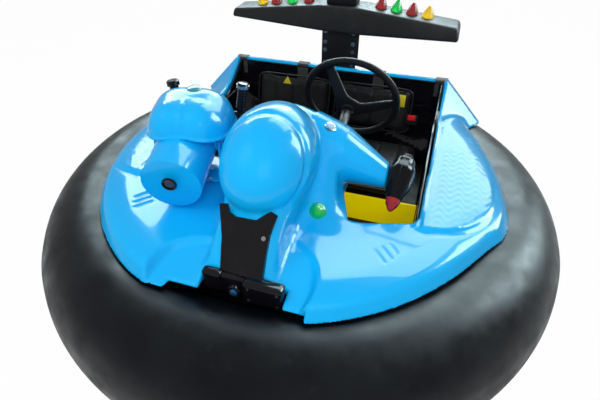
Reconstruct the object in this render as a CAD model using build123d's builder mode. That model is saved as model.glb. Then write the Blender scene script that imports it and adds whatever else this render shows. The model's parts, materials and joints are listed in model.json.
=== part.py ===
"""Two-seat ring-tube bumper car with a swivelling toy cannon, in millimetres.

+Z is up, the front is -Y, and +X is the driver's side (steering wheel). The origin is on the
floor, under the centre of the ring tube.
"""
from build123d import *
from math import atan2, copysign, cos, radians, sin, sqrt
import os

os.makedirs("parts", exist_ok=True)

# ---- ring tube and its steel rim
tube_centre_r = 722.0       # radius of the ring through the middle of the tube
tube_half_width = 178.0
tube_half_height = 205.0
tube_centre_z = 240.0
seat_r = 560.0              # the tube is pressed flat here, against the rim
fit = 0.3                   # running or seating clearance between neighbours
rim_wall = 8.0
rim_half_height = 80.0
rim_flange = 30.0

# ---- floor plate and frame rails
floor_z = 190.0             # underside of the floor plate
floor_t = 6.0
rail_w = 40.0
rail_h = 25.0
rail_x = 190.0
rail_y = 40.0
rail_l = 760.0

# ---- wheels
wheel_r = 80.0
tyre_w = 50.0
hub_r = 55.0
axle_r = 12.5
bore_play = 0.05
rear_axle_y = 300.0
rear_wheel_x = 340.0
hanger_x = 290.0
hanger_t = 10.0

# ---- steered drive unit
drive_y = -330.0
blade_x = 36.0
blade_t = 8.0
blade_w = 50.0
crown_t = 12.0
steerer_r = 20.0
head_r = 32.0
head_h = 54.0

# ---- cockpit
rim_x = 435.0               # inner side of the cockpit rim
rim_t = 18.0
deck_z = 500.0
deck_t = 6.0
front_edge_left = -315.0     # driver's side
front_edge_right = -120.0    # gunner's side
back_y = 500.0
back_t = 20.0
back_top_z = 600.0
wing_foot_y = 320.0
well_front_y = -440.0
tub_wall = 8.0
tub_floor = 4.0

port_r = 14.0
port_x = -200.0
port_z = 560.0

# ---- deck skirt
skirt_r = tube_centre_r - 30
skirt_z = 447.0
crease_r = tube_centre_r - 55
crease_z = 489.0

# ---- front bay between the two wings, with the lamp bar in it
bay_right = -150.0
bay_left = 225.0
bay_foot_z = 420.0
bar_x = 42.0
bar_w = 224.0
bar_depth = 40.0
bar_ring_gap = 14.0         # between the lamp bar and the ring tube
sill_h = 48.0
sill_ring_gap = 4.0
trim_x = 20.0
trim_t = 8.0
trim_neck_half = 52.0
trim_horn_half = 72.0
lens_r = 11.0

# ---- seats
seat_front_y = 50.0
seat_box_z = 315.0
seat_box_t = 12.0
seat_box_depth = 310.0
cushion_t = 60.0
pad_t = 55.0
pad_h = 190.0
pad_w = 330.0
pad_lean = 14.0
seat_gap = 14.0
belt_w = 44.0
belt_t = 3.0
belt_places = (-400.0, -147.0, 180.0, 400.0)
battery_l = 520.0
battery_w = 200.0
battery_h = 80.0

# ---- dash between the two foot wells: a leaning console with a rounded hump on its front
dash_x = 68.0
dash_half = 177.0
dash_front = -365.0
dash_back = -30.0
dash_wall = 6.0
dash_top_z = 700.0
dash_top_front = -195.0
dash_top_back = -50.0
dash_top_half = 152.0
dash_corner = 60.0
green_lamp_x = 160.0
green_lamp_z = 532.0
green_lamp_r = 20.0
clear_lamp_x = 148.0
clear_lamp_y = -168.0
clear_lamp_r = 16.0
hump_x = 15.0
hump_y = -310.0
hump_z = 665.0
hump_long = 180.0
hump_round = 132.0
hump_nose_r = 110.0          # radius of the rounded ends
hump_tilt = 15.0
foot_front = -575.0         # the hump's foot runs down to the front bay
foot_knee_y = -500.0
foot_knee_z = 588.0
foot_top_z = 640.0
foot_half = 95.0

# ---- arm from the dash to the driver's side, with its pod
arm_root_x = 196.0
arm_root_y = -150.0
arm_root_z = 612.0
arm_root_ry = 75.0
arm_root_rz = 84.0
arm_end_x = 326.0
arm_end_y = -163.0
arm_end_z = 570.0
arm_end_r = 37.0
pod_half_t = 34.0
pod_seat = 1.6              # the belly of the toed-in pod stands this far off its own middle plane

# ---- pedal in the driver's foot well
pedal_x = 285.0
pedal_w = 70.0
pedal_ring_gap = 65.0       # from its outer corner to the floor plate's edge
pedal_wall_gap = 30.0       # from its heel to the tub's front wall

# ---- steering wheel
steer_tilt = 17.5           # the wheel's axis above level, towards the driver
steer_x = 148.0
steer_y = 100.0
steer_z = 672.0
steer_r = 152.0
steer_rim_r = 12.5
steer_dish = 50.0
column_r = 16.0
column_l = 150.0

# ---- cannon, modelled as it is parked: swung towards the middle and a little nose down
gun_x = -279.0
gun_y = -243.0
gun_z = 625.0
gun_yaw = 12.0
gun_dip = 8.0
barrel_r = 86.0
barrel_front = 190.0
barrel_back = 120.0
yoke_gap = 9.0
yoke_t = 8.0
pivot_r = 12.0

# ---- mast and light board
mast_w = 130.0
mast_y = 545.0
board_half = 460.0
board_z = 780.0
board_y = 560.0
board_depth = 110.0
board_crown = 70.0          # height of the middle above board_z
board_flat = 80.0           # half length of the level middle
board_drop = 40.0           # fall of the top edge out to the ends
board_end = 10.0
board_keel = 12.0
lamp_foot_r = 24.0
lamp_h = 44.0


def ring_point(height, inset):
    """Radius of the tube's inner side at a height, moved inwards by inset."""
    share = (height - tube_centre_z) / tube_half_height
    return tube_centre_r - tube_half_width * sqrt(1 - share**2) - inset


def save(piece, label):
    piece.part.label = label
    export_step(piece.part, f"parts/{label}.step")


bay_y = bar_depth - ring_point(bay_foot_z, bar_ring_gap)


# ================= ring tube =================
with BuildPart() as bumper_tube:
    with BuildSketch(Plane.XZ):
        with Locations((tube_centre_r, tube_centre_z)):
            Ellipse(tube_half_width, tube_half_height)
        with Locations((0, tube_centre_z)):
            Rectangle(2 * seat_r, 3 * tube_half_height, mode=Mode.SUBTRACT)
    revolve(axis=Axis.Z)
save(bumper_tube, "bumper_tube")

with BuildPart() as tube_rim:
    with BuildSketch(Plane.XZ):
        with Locations((seat_r - fit - rim_wall / 2, tube_centre_z)):
            Rectangle(rim_wall, 2 * rim_half_height)
        with Locations((seat_r - fit - rim_wall - rim_flange / 2, floor_z - rim_wall / 2)):
            Rectangle(rim_flange, rim_wall)
    revolve(axis=Axis.Z)
save(tube_rim, "tube_rim")

# ================= floor plate with its rails =================
plate_r = seat_r - fit - rim_wall - 1
with BuildPart() as floor_frame:
    with BuildSketch(Plane.XY.offset(floor_z)):
        Circle(plate_r)
    extrude(amount=floor_t)
    with BuildSketch(Plane.XY.offset(floor_z)):
        with Locations((-rail_x, rail_y), (rail_x, rail_y)):
            Rectangle(rail_w, rail_l)
    extrude(amount=-rail_h)
    # steering head, welded into the plate
    with BuildSketch(Plane.XY.offset(floor_z + floor_t)):
        with Locations((0, drive_y)):
            Circle(head_r + 28)
    extrude(amount=8)
    with BuildSketch(Plane.XY.offset(floor_z + floor_t)):
        with Locations((0, drive_y)):
            Circle(head_r)
    extrude(amount=head_h)
    with BuildSketch(Plane.XY.offset(floor_z)):
        with Locations((0, drive_y)):
            Circle(steerer_r + bore_play)
    extrude(amount=floor_t + head_h, mode=Mode.SUBTRACT)
save(floor_frame, "floor_frame")

# ================= rear axle and wheels =================
with BuildPart() as rear_axle:
    with BuildSketch(Plane.YZ.offset(-rear_wheel_x - 38)):
        with Locations((rear_axle_y, wheel_r)):
            Circle(axle_r)
    extrude(amount=2 * (rear_wheel_x + 38))
    for side in (-1, 1):
        with BuildSketch(Plane.YZ.offset(side * hanger_x - hanger_t / 2)):
            with BuildLine():
                Polyline(
                    (rear_axle_y - 22, wheel_r - 20),
                    (rear_axle_y + 22, wheel_r - 20),
                    (rear_axle_y + 55, floor_z),
                    (rear_axle_y - 55, floor_z),
                    close=True,
                )
            make_face()
        extrude(amount=hanger_t)
        with BuildSketch(Plane.YZ.offset(side * (rear_wheel_x + 36) - 4)):
            with Locations((rear_axle_y, wheel_r)):
                Circle(axle_r + 6)
        extrude(amount=8)
save(rear_axle, "rear_axle")


def wheel(centre_x, centre_y, bore_r, hub_half):
    """Hub and tyre of one wheel, on an axle along X."""
    plane = Plane(origin=(centre_x, centre_y, wheel_r), z_dir=(1, 0, 0))
    with BuildPart() as hub:
        with BuildSketch(plane.offset(-tyre_w / 2 + 4)):
            Circle(hub_r)
        extrude(amount=tyre_w - 8)
        with BuildSketch(plane.offset(-tyre_w / 2 + 4)):
            Circle(hub_r - 10)
            Circle(bore_r + 12, mode=Mode.SUBTRACT)
        extrude(amount=12, mode=Mode.SUBTRACT)
        with BuildSketch(plane.offset(tyre_w / 2 - 4)):
            Circle(hub_r - 10)
            Circle(bore_r + 12, mode=Mode.SUBTRACT)
        extrude(amount=-12, mode=Mode.SUBTRACT)
        with BuildSketch(plane.offset(-hub_half)):
            Circle(bore_r + 12)
        extrude(amount=2 * hub_half)
        with BuildSketch(plane.offset(-hub_half)):
            Circle(bore_r)
        extrude(amount=2 * hub_half, mode=Mode.SUBTRACT)
    profile_plane = Plane(origin=(centre_x, centre_y, wheel_r), x_dir=(1, 0, 0), z_dir=(0, -1, 0))
    with BuildPart() as tyre:
        with BuildSketch(profile_plane):
            with Locations((0, (hub_r + wheel_r) / 2)):
                RectangleRounded(tyre_w, wheel_r - hub_r, 8)
        revolve(axis=Axis((centre_x, centre_y, wheel_r), (1, 0, 0)))
    return hub, tyre


for side, name in ((-1, "right"), (1, "left")):
    hub, tyre = wheel(side * rear_wheel_x, rear_axle_y, axle_r + bore_play, tyre_w / 2 + 4)
    save(hub, f"rear_{name}_hub")
    save(tyre, f"rear_{name}_tyre")

drive_bore_r = axle_r + bore_play
drive_hub, drive_tyre = wheel(0, drive_y, drive_bore_r, tyre_w / 2 + 3)
save(drive_hub, "drive_hub")
save(drive_tyre, "drive_tyre")

# ================= steered fork and its head =================
crown_z = wheel_r + wheel_r + 6
with BuildPart() as drive_fork:
    with BuildSketch(Plane.XY.offset(crown_z)):
        with Locations((0, drive_y)):
            RectangleRounded(2 * (blade_x + blade_t), blade_w + 16, 6)
    extrude(amount=crown_t)
    for side in (-1, 1):
        with BuildSketch(Plane.YZ.offset(side * (blade_x + blade_t / 2) - blade_t / 2)):
            with Locations((drive_y, (crown_z + wheel_r) / 2)):
                Rectangle(blade_w, crown_z - wheel_r)
            with Locations((drive_y, wheel_r)):
                Circle(blade_w / 2)
        extrude(amount=blade_t)
        with BuildSketch(Plane.YZ.offset(side * (blade_x - 3.5))):
            with Locations((drive_y, wheel_r)):
                Circle(axle_r + 5)
        extrude(amount=side * 4)
    with BuildSketch(Plane.YZ.offset(-blade_x - blade_t - 6)):
        with Locations((drive_y, wheel_r)):
            Circle(axle_r)
    extrude(amount=2 * (blade_x + blade_t + 6))
    with BuildSketch(Plane.XY.offset(crown_z + crown_t)):
        with Locations((0, drive_y)):
            Circle(head_r - 4)
    extrude(amount=floor_z - crown_z - crown_t - fit)
    with BuildSketch(Plane.XY.offset(crown_z + crown_t)):
        with Locations((0, drive_y)):
            Circle(steerer_r)
    extrude(amount=floor_z + floor_t + head_h + 14 - crown_z - crown_t)
    with BuildSketch(Plane.XY.offset(floor_z + floor_t + head_h + fit)):
        with Locations((0, drive_y)):
            Circle(steerer_r + 16)
    extrude(amount=10)
save(drive_fork, "drive_fork")

# ================= cockpit tub =================
well_z = floor_z + floor_t
deck_under = deck_z - deck_t


def tub_block(inset, low, high):
    """The space inside the ring, cut square to the cockpit and moved inwards by inset."""
    with BuildPart() as block:
        with BuildSketch(Plane.XZ):
            with BuildLine():
                Polyline(
                    (0, low),
                    (plate_r - 5 - inset, low),
                    (plate_r - 5 - inset, 325),
                    (ring_point(375, 14) - inset, 375),
                    (ring_point(405, 16) - inset, 405),
                    (ring_point(435, 28) - inset, 435),
                    (655 - inset, 462),
                    (655 - inset, 474),
                    (625 - inset, high),
                    (0, high),
                    close=True,
                )
            make_face()
        revolve(axis=Axis.Z)
        with BuildSketch(Plane.XY.offset(low - 1)):
            with Locations((0, (well_front_y + back_y) / 2)):
                Rectangle(2 * (rim_x - inset), back_y - well_front_y - 2 * inset)
        extrude(amount=high - low + 2, mode=Mode.INTERSECT)
    return block.part


tub_outer = tub_block(0, well_z, deck_under)
tub_inner = tub_block(tub_wall, well_z + tub_floor, deck_under)
with BuildPart() as cockpit_tub:
    add(tub_outer)
    add(tub_inner, mode=Mode.SUBTRACT)
    with BuildSketch(Plane.XY.offset(well_z - 1)):
        with Locations((0, drive_y)):
            Circle(head_r + 30)
    extrude(amount=tub_floor + 2, mode=Mode.SUBTRACT)
save(cockpit_tub, "cockpit_tub")

# ================= dash console between the foot wells =================


def dash_block(inset):
    """The dash console's outer form, from the deck to its narrower top, moved inwards by inset."""
    with BuildPart() as block:
        for z, half, front, back in (
            (deck_z + fit, dash_half, dash_front, dash_back),
            (dash_top_z - inset, dash_top_half, dash_top_front, dash_top_back),
        ):
            with BuildSketch(Plane.XY.offset(z)):
                with Locations((dash_x, (front + back) / 2)):
                    RectangleRounded(
                        2 * (half - inset), back - front - 2 * inset, dash_corner - inset
                    )
        loft(ruled=True)
    return block.part


dash_outer = dash_block(0)
dash_cavity = dash_block(dash_wall)
with BuildPart() as console:
    add(dash_outer)
    add(dash_cavity, mode=Mode.SUBTRACT)
save(console, "console")

base_front = well_front_y + tub_wall + 2
base_half = dash_half - 10
with BuildPart() as console_base:
    with BuildSketch(Plane.XY.offset(well_z + tub_floor)):
        with Locations((dash_x, (base_front + dash_back) / 2)):
            Rectangle(2 * base_half, dash_back - base_front)
            Rectangle(
                2 * (base_half - dash_wall), dash_back - base_front - 2 * dash_wall, mode=Mode.SUBTRACT
            )
    extrude(amount=deck_under - well_z - tub_floor)
save(console_base, "console_base")

# ================= deck with skirt, cockpit opening and back wall =================
with BuildPart() as body_deck:
    with BuildSketch(Plane.XZ):
        with BuildLine():
            Polyline(
                (0, deck_z),
                (crease_r - 32, deck_z),
                (crease_r, crease_z),
                (skirt_r, skirt_z),
                (skirt_r - 8, skirt_z),
                (crease_r - 6, crease_z - 5),
                (crease_r - 33, deck_under),
                (0, deck_under),
                close=True,
            )
        make_face()
    revolve(axis=Axis.Z)
    # back wall and the short side wings that run down from it
    with BuildSketch(Plane.XY.offset(462)):
        with Locations((0, back_y + back_t / 2)):
            Rectangle(2 * (rim_x + rim_t), back_t)
    extrude(amount=back_top_z - 462)
    for side in (-1, 1):
        with BuildSketch(Plane.YZ.offset(side * (rim_x + rim_t / 2) - rim_t / 2)):
            with BuildLine():
                Polyline(
                    (back_y + back_t, 470),
                    (back_y + back_t, back_top_z),
                    (back_y - 15, back_top_z),
                    (wing_foot_y, deck_z + 8),
                    (front_edge_left, deck_z + 8),
                    (front_edge_left, deck_under + 1),
                    (back_y, deck_under + 1),
                    close=True,
                )
            make_face()
        extrude(amount=rim_t)
    # cockpit opening, longer on the driver's side
    with BuildSketch(Plane.XY.offset(deck_under - 40)):
        tongue_low_x = dash_x - dash_half
        tongue_high_x = dash_x + dash_half
        with Locations(((tongue_high_x + rim_x) / 2, (front_edge_left + back_y) / 2)):
            Rectangle(rim_x - tongue_high_x, back_y - front_edge_left)
        with Locations(((tongue_low_x - rim_x) / 2, (front_edge_right + back_y) / 2)):
            Rectangle(rim_x + tongue_low_x, back_y - front_edge_right)
        with Locations((0, (dash_back + back_y) / 2)):
            Rectangle(2 * rim_x, back_y - dash_back)
    extrude(amount=400, mode=Mode.SUBTRACT)
    # charging port through the back wall
    with BuildSketch(Plane.XZ.offset(-back_y - back_t - 5)):
        with Locations((port_x, port_z)):
            Circle(port_r)
    extrude(amount=back_t + 10, mode=Mode.SUBTRACT)
    # open bay between the front wings, with its own low front wall and a sill on each side
    bay_mid = (bay_right + bay_left) / 2
    with BuildSketch(Plane.XY.offset(bay_foot_z)):
        with Locations((bay_mid, bay_y - 100)):
            Rectangle(bay_left - bay_right, 200)
    extrude(amount=200, mode=Mode.SUBTRACT)
    with BuildSketch(Plane.XY.offset(bay_foot_z)):
        with Locations((bay_mid, bay_y + deck_t / 2)):
            Rectangle(bay_left - bay_right + 2 * deck_t, deck_t)
    extrude(amount=deck_z - bay_foot_z)
    for low_x, high_x in (
        (bay_right, bar_x - bar_w / 2 - fit),
        (bar_x + bar_w / 2 + fit, bay_left),
    ):
        with BuildSketch(Plane.XY.offset(bay_foot_z)):
            with Locations(((low_x + high_x) / 2, bay_y - bar_depth / 2)):
                Rectangle(high_x - low_x, bar_depth)
        extrude(amount=sill_h)
    with BuildSketch(Plane.XY.offset(bay_foot_z)):
        Circle(2 * tube_centre_r)
        Circle(ring_point(bay_foot_z, sill_ring_gap), mode=Mode.SUBTRACT)
    extrude(amount=skirt_z - bay_foot_z, mode=Mode.SUBTRACT)
    for side_x in (bay_right - deck_t / 2, bay_left + deck_t / 2):
        side_reach = sqrt(crease_r**2 - side_x**2)
        with BuildSketch(Plane.YZ.offset(side_x - deck_t / 2)):
            with BuildLine():
                Polyline(
                    (bay_y, skirt_z + 3),
                    (bay_y, deck_under + 1),
                    (min(-side_reach + 40, bay_y - 2), deck_under),
                    (-side_reach + 3, crease_z - 2),
                    (-side_reach - 16, skirt_z + 3),
                    close=True,
                )
            make_face()
        extrude(amount=deck_t)
save(body_deck, "body_deck")

# ================= hump on the dash's front, with its foot =================
hump_plane = Plane(
    origin=(hump_x, hump_y, hump_z),
    x_dir=(0, cos(radians(hump_tilt)), sin(radians(hump_tilt))),
    z_dir=(1, 0, 0),
)
nose_x = hump_long - hump_nose_r        # centres of the end arcs and of the side arc
nose_lift = hump_round - hump_nose_r
flank_drop = (nose_x**2 - nose_lift**2) / (2 * nose_lift)
flank_share = (hump_round + flank_drop) / sqrt(nose_x**2 + flank_drop**2)
touch_x = nose_x * flank_share
touch_y = flank_drop * (flank_share - 1)
half_turn = atan2(touch_y, touch_x - nose_x) / 2
nose_mid = (nose_x + hump_nose_r * cos(half_turn), hump_nose_r * sin(half_turn))
with BuildPart() as egg_cowl:
    with BuildSketch(hump_plane):
        with BuildLine():
            ThreePointArc((-hump_long, 0), (-nose_mid[0], nose_mid[1]), (-touch_x, touch_y))
            ThreePointArc((-touch_x, touch_y), (0, hump_round), (touch_x, touch_y))
            ThreePointArc((touch_x, touch_y), nose_mid, (hump_long, 0))
            Line((hump_long, 0), (-hump_long, 0))
        make_face()
    revolve(axis=Axis(hump_plane.origin, hump_plane.x_dir))
    with BuildSketch(Plane.YZ.offset(trim_x - foot_half)):
        with BuildLine():
            Polyline(
                (foot_front, deck_z + fit),
                (foot_knee_y, foot_knee_z),
                (hump_y, foot_top_z),
                (hump_y, deck_z + fit),
                close=True,
            )
        make_face()
    extrude(amount=2 * foot_half)
    add(dash_outer, mode=Mode.SUBTRACT)
save(egg_cowl, "egg_cowl")

# ================= seats =================
cabin_half = rim_x - tub_wall - 2
seat_w = 2 * (cabin_half - 40)
with BuildPart() as seat_box:
    with BuildSketch(Plane.XY.offset(well_z + tub_floor)):
        with Locations((0, seat_front_y + seat_box_depth / 2)):
            Rectangle(seat_w, seat_box_depth)
            Rectangle(seat_w - 2 * seat_box_t, seat_box_depth - 2 * seat_box_t, mode=Mode.SUBTRACT)
    extrude(amount=seat_box_z - well_z - tub_floor - seat_box_t)
    with BuildSketch(Plane.XY.offset(seat_box_z - seat_box_t)):
        with Locations((0, seat_front_y + seat_box_depth / 2)):
            Rectangle(seat_w, seat_box_depth)
    extrude(amount=seat_box_t)
save(seat_box, "seat_box")

with BuildPart() as battery:
    with BuildSketch(Plane.XY.offset(well_z + tub_floor)):
        with Locations((0, seat_front_y + seat_box_depth / 2)):
            Rectangle(battery_l, battery_w)
    extrude(amount=battery_h)
save(battery, "battery")

cushion_w = cabin_half - 40 - seat_gap / 2
for side, name in ((-1, "right"), (1, "left")):
    with BuildPart() as cushion:
        with BuildSketch(Plane.XY.offset(seat_box_z + fit)):
            with Locations((side * (seat_gap / 2 + cushion_w / 2), seat_front_y + 165)):
                RectangleRounded(cushion_w - seat_gap / 2, 340, 30)
        extrude(amount=cushion_t)
        fillet(cushion.edges().group_by(Axis.Z)[-1], 18)
    save(cushion, f"seat_cushion_{name}")

    pad_plane = Plane(
        origin=(
            side * (seat_gap + pad_w) / 2,
            back_y - 2 * fit - belt_t - pad_h * sin(radians(pad_lean)),
            seat_box_z + cushion_t + 8,
        ),
        x_dir=(1, 0, 0),
        z_dir=(0, -cos(radians(pad_lean)), sin(radians(pad_lean))),
    )
    with BuildPart() as pad:
        with BuildSketch(pad_plane):
            with Locations((0, pad_h / 2)):
                RectangleRounded(pad_w, pad_h, 30)
        extrude(amount=pad_t)
        fillet(pad.faces().sort_by(Axis(pad_plane.origin, pad_plane.z_dir))[-1].edges(), 18)
    save(pad, f"back_pad_{name}")

# ================= round lamps on the dash =================
face_rise = Vector(0, dash_top_front - dash_front, dash_top_z - deck_z)
face_share = (green_lamp_z - deck_z) / (dash_top_z - deck_z)
green_foot = Vector(green_lamp_x, dash_front, deck_z) + face_rise * face_share
green_axis = Vector(1, 0, 0).cross(face_rise).normalized()
clear_foot = Vector(clear_lamp_x, clear_lamp_y, dash_top_z)
clear_axis = Vector(0, 0, 1)


def dome(foot, axis, radius):
    """Half a ball that sits on the dash."""
    plane = Plane(origin=foot + axis * fit, x_dir=axis, z_dir=(1, 0, 0))
    with BuildPart() as ball:
        with BuildSketch(plane):
            Circle(radius)
            with Locations((-radius, 0)):
                Rectangle(2 * radius, 2 * radius, mode=Mode.SUBTRACT)
            with Locations((0, -radius)):
                Rectangle(2 * radius, 2 * radius, mode=Mode.SUBTRACT)
        revolve(axis=Axis(plane.origin, axis))
    return ball.part


with BuildPart() as dash_lamp_clear:
    add(dome(clear_foot, clear_axis, clear_lamp_r))
save(dash_lamp_clear, "dash_lamp_clear")

# ================= mast and light board =================
with BuildPart() as mast:
    with BuildSketch(Plane.XY.offset(deck_z)):
        with Locations((0, mast_y)):
            Rectangle(mast_w, 40)
    extrude(amount=board_z - board_keel - deck_z)
save(mast, "mast")

with BuildPart() as light_board:
    with BuildSketch(Plane.XZ.offset(-board_y + board_depth / 2)):
        with BuildLine():
            Polyline(
                (-board_half, board_z + 4),
                (-board_half + board_end, board_z + board_crown - board_drop),
                (-board_flat, board_z + board_crown),
                (board_flat, board_z + board_crown),
                (board_half - board_end, board_z + board_crown - board_drop),
                (board_half, board_z + 4),
                (board_flat, board_z - board_keel),
                (-board_flat, board_z - board_keel),
                close=True,
            )
        make_face()
    extrude(amount=-board_depth)
save(light_board, "light_board")

with BuildPart() as mast_plates:
    for face_y in (mast_y - 20 - 5, mast_y + 20):
        with BuildSketch(Plane.XY.offset(back_top_z + 4)):
            with Locations((0, face_y + 2.5)):
                Rectangle(mast_w + 16, 5)
        extrude(amount=board_z - board_keel - 2 - back_top_z - 4)
save(mast_plates, "mast_plates")

with BuildPart() as signal_box:
    with BuildSketch(Plane.XY.offset(board_z + board_crown)):
        with Locations((0, board_y)):
            RectangleRounded(120, 70, 8)
    extrude(amount=42)
save(signal_box, "signal_box")

for colour, places in (
    ("red", (-280.0, -140.0, 150.0, 270.0)),
    ("green", (-210.0, 210.0)),
    ("yellow", (-340.0, 330.0)),
):
    with BuildPart() as lamps:
        for x in places:
            rise = (abs(x) - board_flat) * board_drop / (board_half - board_end - board_flat)
            slope = Vector(copysign(board_drop, x), 0, board_half - board_end - board_flat)
            foot = Vector(x, board_y, board_z + board_crown - rise) + slope.normalized() * fit
            lamp_plane = Plane(origin=foot, x_dir=(0, 1, 0), z_dir=Vector(0, 1, 0).cross(slope))
            with BuildSketch(lamp_plane):
                with BuildLine():
                    Polyline((0, 0), (lamp_foot_r, 0), (lamp_foot_r - 4, 14), (6, lamp_h), (0, lamp_h), close=True)
                make_face()
            revolve(axis=Axis(foot, slope))
        if colour == "green":
            add(dome(green_foot, green_axis, green_lamp_r))
    save(lamps, f"lamps_{colour}")

# ================= black trim on the hump's foot, and the lamp bar in the front bay =================
slope = Vector(0, foot_knee_y - foot_front, foot_knee_z - deck_z - fit)
trim_plane = Plane(
    origin=Vector(trim_x, foot_front, deck_z + fit),
    x_dir=(1, 0, 0),
    z_dir=Vector(1, 0, 0).cross(slope),
)
with BuildPart() as front_trim:
    with BuildSketch(trim_plane.offset(fit)):
        with BuildLine():
            Polyline(
                (-trim_neck_half, 4),
                (-trim_neck_half, slope.length * 0.4),
                (-trim_horn_half, slope.length + 22),
                (-trim_horn_half + 22, slope.length + 22),
                (-trim_neck_half + 20, slope.length - 6),
                (0, slope.length - 18),
                (trim_neck_half - 20, slope.length - 6),
                (trim_horn_half - 22, slope.length + 22),
                (trim_horn_half, slope.length + 22),
                (trim_neck_half, slope.length * 0.4),
                (trim_neck_half, 4),
                close=True,
            )
        make_face()
    extrude(amount=trim_t)
    add(egg_cowl.part, mode=Mode.SUBTRACT)
save(front_trim, "front_trim")

with BuildPart() as lamp_bar:
    with BuildSketch(Plane.XY.offset(bay_foot_z + 5)):
        with Locations((bar_x, bay_y - fit - (bar_depth - fit) / 2)):
            Rectangle(bar_w, bar_depth - fit)
    extrude(amount=deck_z - bay_foot_z - 8)
    fillet(lamp_bar.edges().group_by(Axis.Y)[0], 9)
save(lamp_bar, "lamp_bar")

with BuildPart() as front_lens:
    with BuildSketch(Plane.XZ.offset(bar_depth - bay_y + fit)):
        with Locations((trim_x + 10, bay_foot_z + 36)):
            Circle(lens_r)
    extrude(amount=8)
save(front_lens, "front_lens")

# ================= dash arm with its side pod =================
with BuildPart() as dash_arm:
    with BuildSketch(Plane.YZ.offset(arm_root_x)):
        with Locations((arm_root_y, arm_root_z)):
            Ellipse(arm_root_ry, arm_root_rz)
    with BuildSketch(Plane.YZ.offset(arm_end_x)):
        with Locations((arm_end_y, arm_end_z)):
            Circle(arm_end_r)
    loft()
    add(dash_outer, mode=Mode.SUBTRACT)
    add(egg_cowl.part, mode=Mode.SUBTRACT)
save(dash_arm, "dash_arm")

pod_dir = Vector(-0.1, -0.84, -0.54).normalized()
pod_mid = Vector(arm_end_x + pod_half_t + pod_seat, arm_end_y - 14, arm_end_z + 6)
pod_plane = Plane(origin=pod_mid, x_dir=(1, 0, 0), z_dir=pod_dir)
pod_sections = (  # distance along the pod, half thickness, half height
    (-78.0, 14.0, 14.0),
    (-40.0, pod_half_t, 42.0),
    (14.0, pod_half_t, 40.0),
    (66.0, 22.0, 22.0),
)
with BuildPart() as side_pod:
    for near, far in zip(pod_sections, pod_sections[1:]):
        for distance, half_t, half_h in (near, far):
            with BuildSketch(pod_plane.offset(distance)):
                Ellipse(half_t, half_h)
        loft()
save(side_pod, "side_pod")

with BuildPart() as pod_lamp:
    for distance, half_t, half_h in (pod_sections[-1], (104.0, 4.0, 5.0)):
        with BuildSketch(pod_plane.offset(distance)):
            Ellipse(half_t, half_h)
    loft()
save(pod_lamp, "pod_lamp")

# ================= steering column and wheel =================
steer_axis = Vector(0, cos(radians(steer_tilt)), sin(radians(steer_tilt)))
rim_plane = Plane(origin=(steer_x, steer_y, steer_z), x_dir=(1, 0, 0), z_dir=steer_axis)
hub_plane = rim_plane.offset(-steer_dish)
column_back = 16.0
with BuildPart() as steering_column:
    with BuildSketch(hub_plane.offset(-column_back)):
        Circle(column_r)
    extrude(amount=-column_l)
    add(dash_outer, mode=Mode.SUBTRACT)
    keep = steering_column.solids().sort_by(Axis(hub_plane.origin, hub_plane.z_dir))[-1]
with BuildPart() as steering_column:
    add(keep)
save(steering_column, "steering_column")

with BuildPart() as steering_wheel:
    with BuildSketch(Plane(origin=rim_plane.origin, x_dir=rim_plane.z_dir, z_dir=(-1, 0, 0))):
        with Locations((0, steer_r)):
            Circle(steer_rim_r)
    revolve(axis=Axis(rim_plane.origin, rim_plane.z_dir))
    with BuildSketch(hub_plane.offset(-column_back + fit)):
        Circle(32)
    extrude(amount=column_back + 8)
    for angle in (0, 120, 240):
        spoke_dir = rim_plane.x_dir * cos(radians(angle)) - rim_plane.y_dir * sin(radians(angle))
        start = hub_plane.origin + spoke_dir * 18
        finish = rim_plane.origin + spoke_dir * (steer_r - 2)
        spoke_plane = Plane(origin=start, x_dir=rim_plane.z_dir.cross(spoke_dir), z_dir=finish - start)
        with BuildSketch(spoke_plane):
            Rectangle(44, 8)
        extrude(amount=(finish - start).length)
save(steering_wheel, "steering_wheel")

# ================= cannon =================
gun_forward = Vector(
    sin(radians(gun_yaw)) * cos(radians(gun_dip)),
    -cos(radians(gun_yaw)) * cos(radians(gun_dip)),
    -sin(radians(gun_dip)),
)
gun_side = Vector(cos(radians(gun_yaw)), sin(radians(gun_yaw)), 0)
pivot = (gun_x, gun_y, gun_z)
gun_up = gun_forward.cross(gun_side)
gun_axis = Plane(origin=pivot, x_dir=gun_side, z_dir=gun_forward)      # looks along the barrel
gun_level = Plane(origin=pivot, x_dir=gun_side, z_dir=gun_up)
gun_cross = Plane(origin=pivot, x_dir=gun_forward, z_dir=gun_side)
yoke_plane = Plane(origin=(gun_x, gun_y, deck_z + fit), x_dir=gun_side, z_dir=(0, 0, 1))

with BuildPart() as gun_pedestal:
    with BuildSketch(yoke_plane):
        Circle(62)
    extrude(amount=8)
save(gun_pedestal, "gun_pedestal")

yoke_half = barrel_r + yoke_gap
with BuildPart() as gun_yoke:
    with BuildSketch(yoke_plane.offset(8 + fit)):
        RectangleRounded(2 * (yoke_half + yoke_t), 90, 8)
    extrude(amount=8)
    for side in (-1, 1):
        with BuildSketch(Plane(origin=pivot, x_dir=(0, 0, 1), z_dir=gun_side).offset(side * (yoke_half + yoke_t / 2) - yoke_t / 2)):
            with Locations((-(gun_z - deck_z - 9) / 2, 0)):
                Rectangle(gun_z - deck_z - 9, 56)
            Circle(28)
        extrude(amount=yoke_t)
        with BuildSketch(gun_cross.offset(side * (barrel_r - 12))):
            Circle(pivot_r)
        extrude(amount=side * (12 + yoke_gap + yoke_t + 6))
save(gun_yoke, "gun_yoke")

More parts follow.
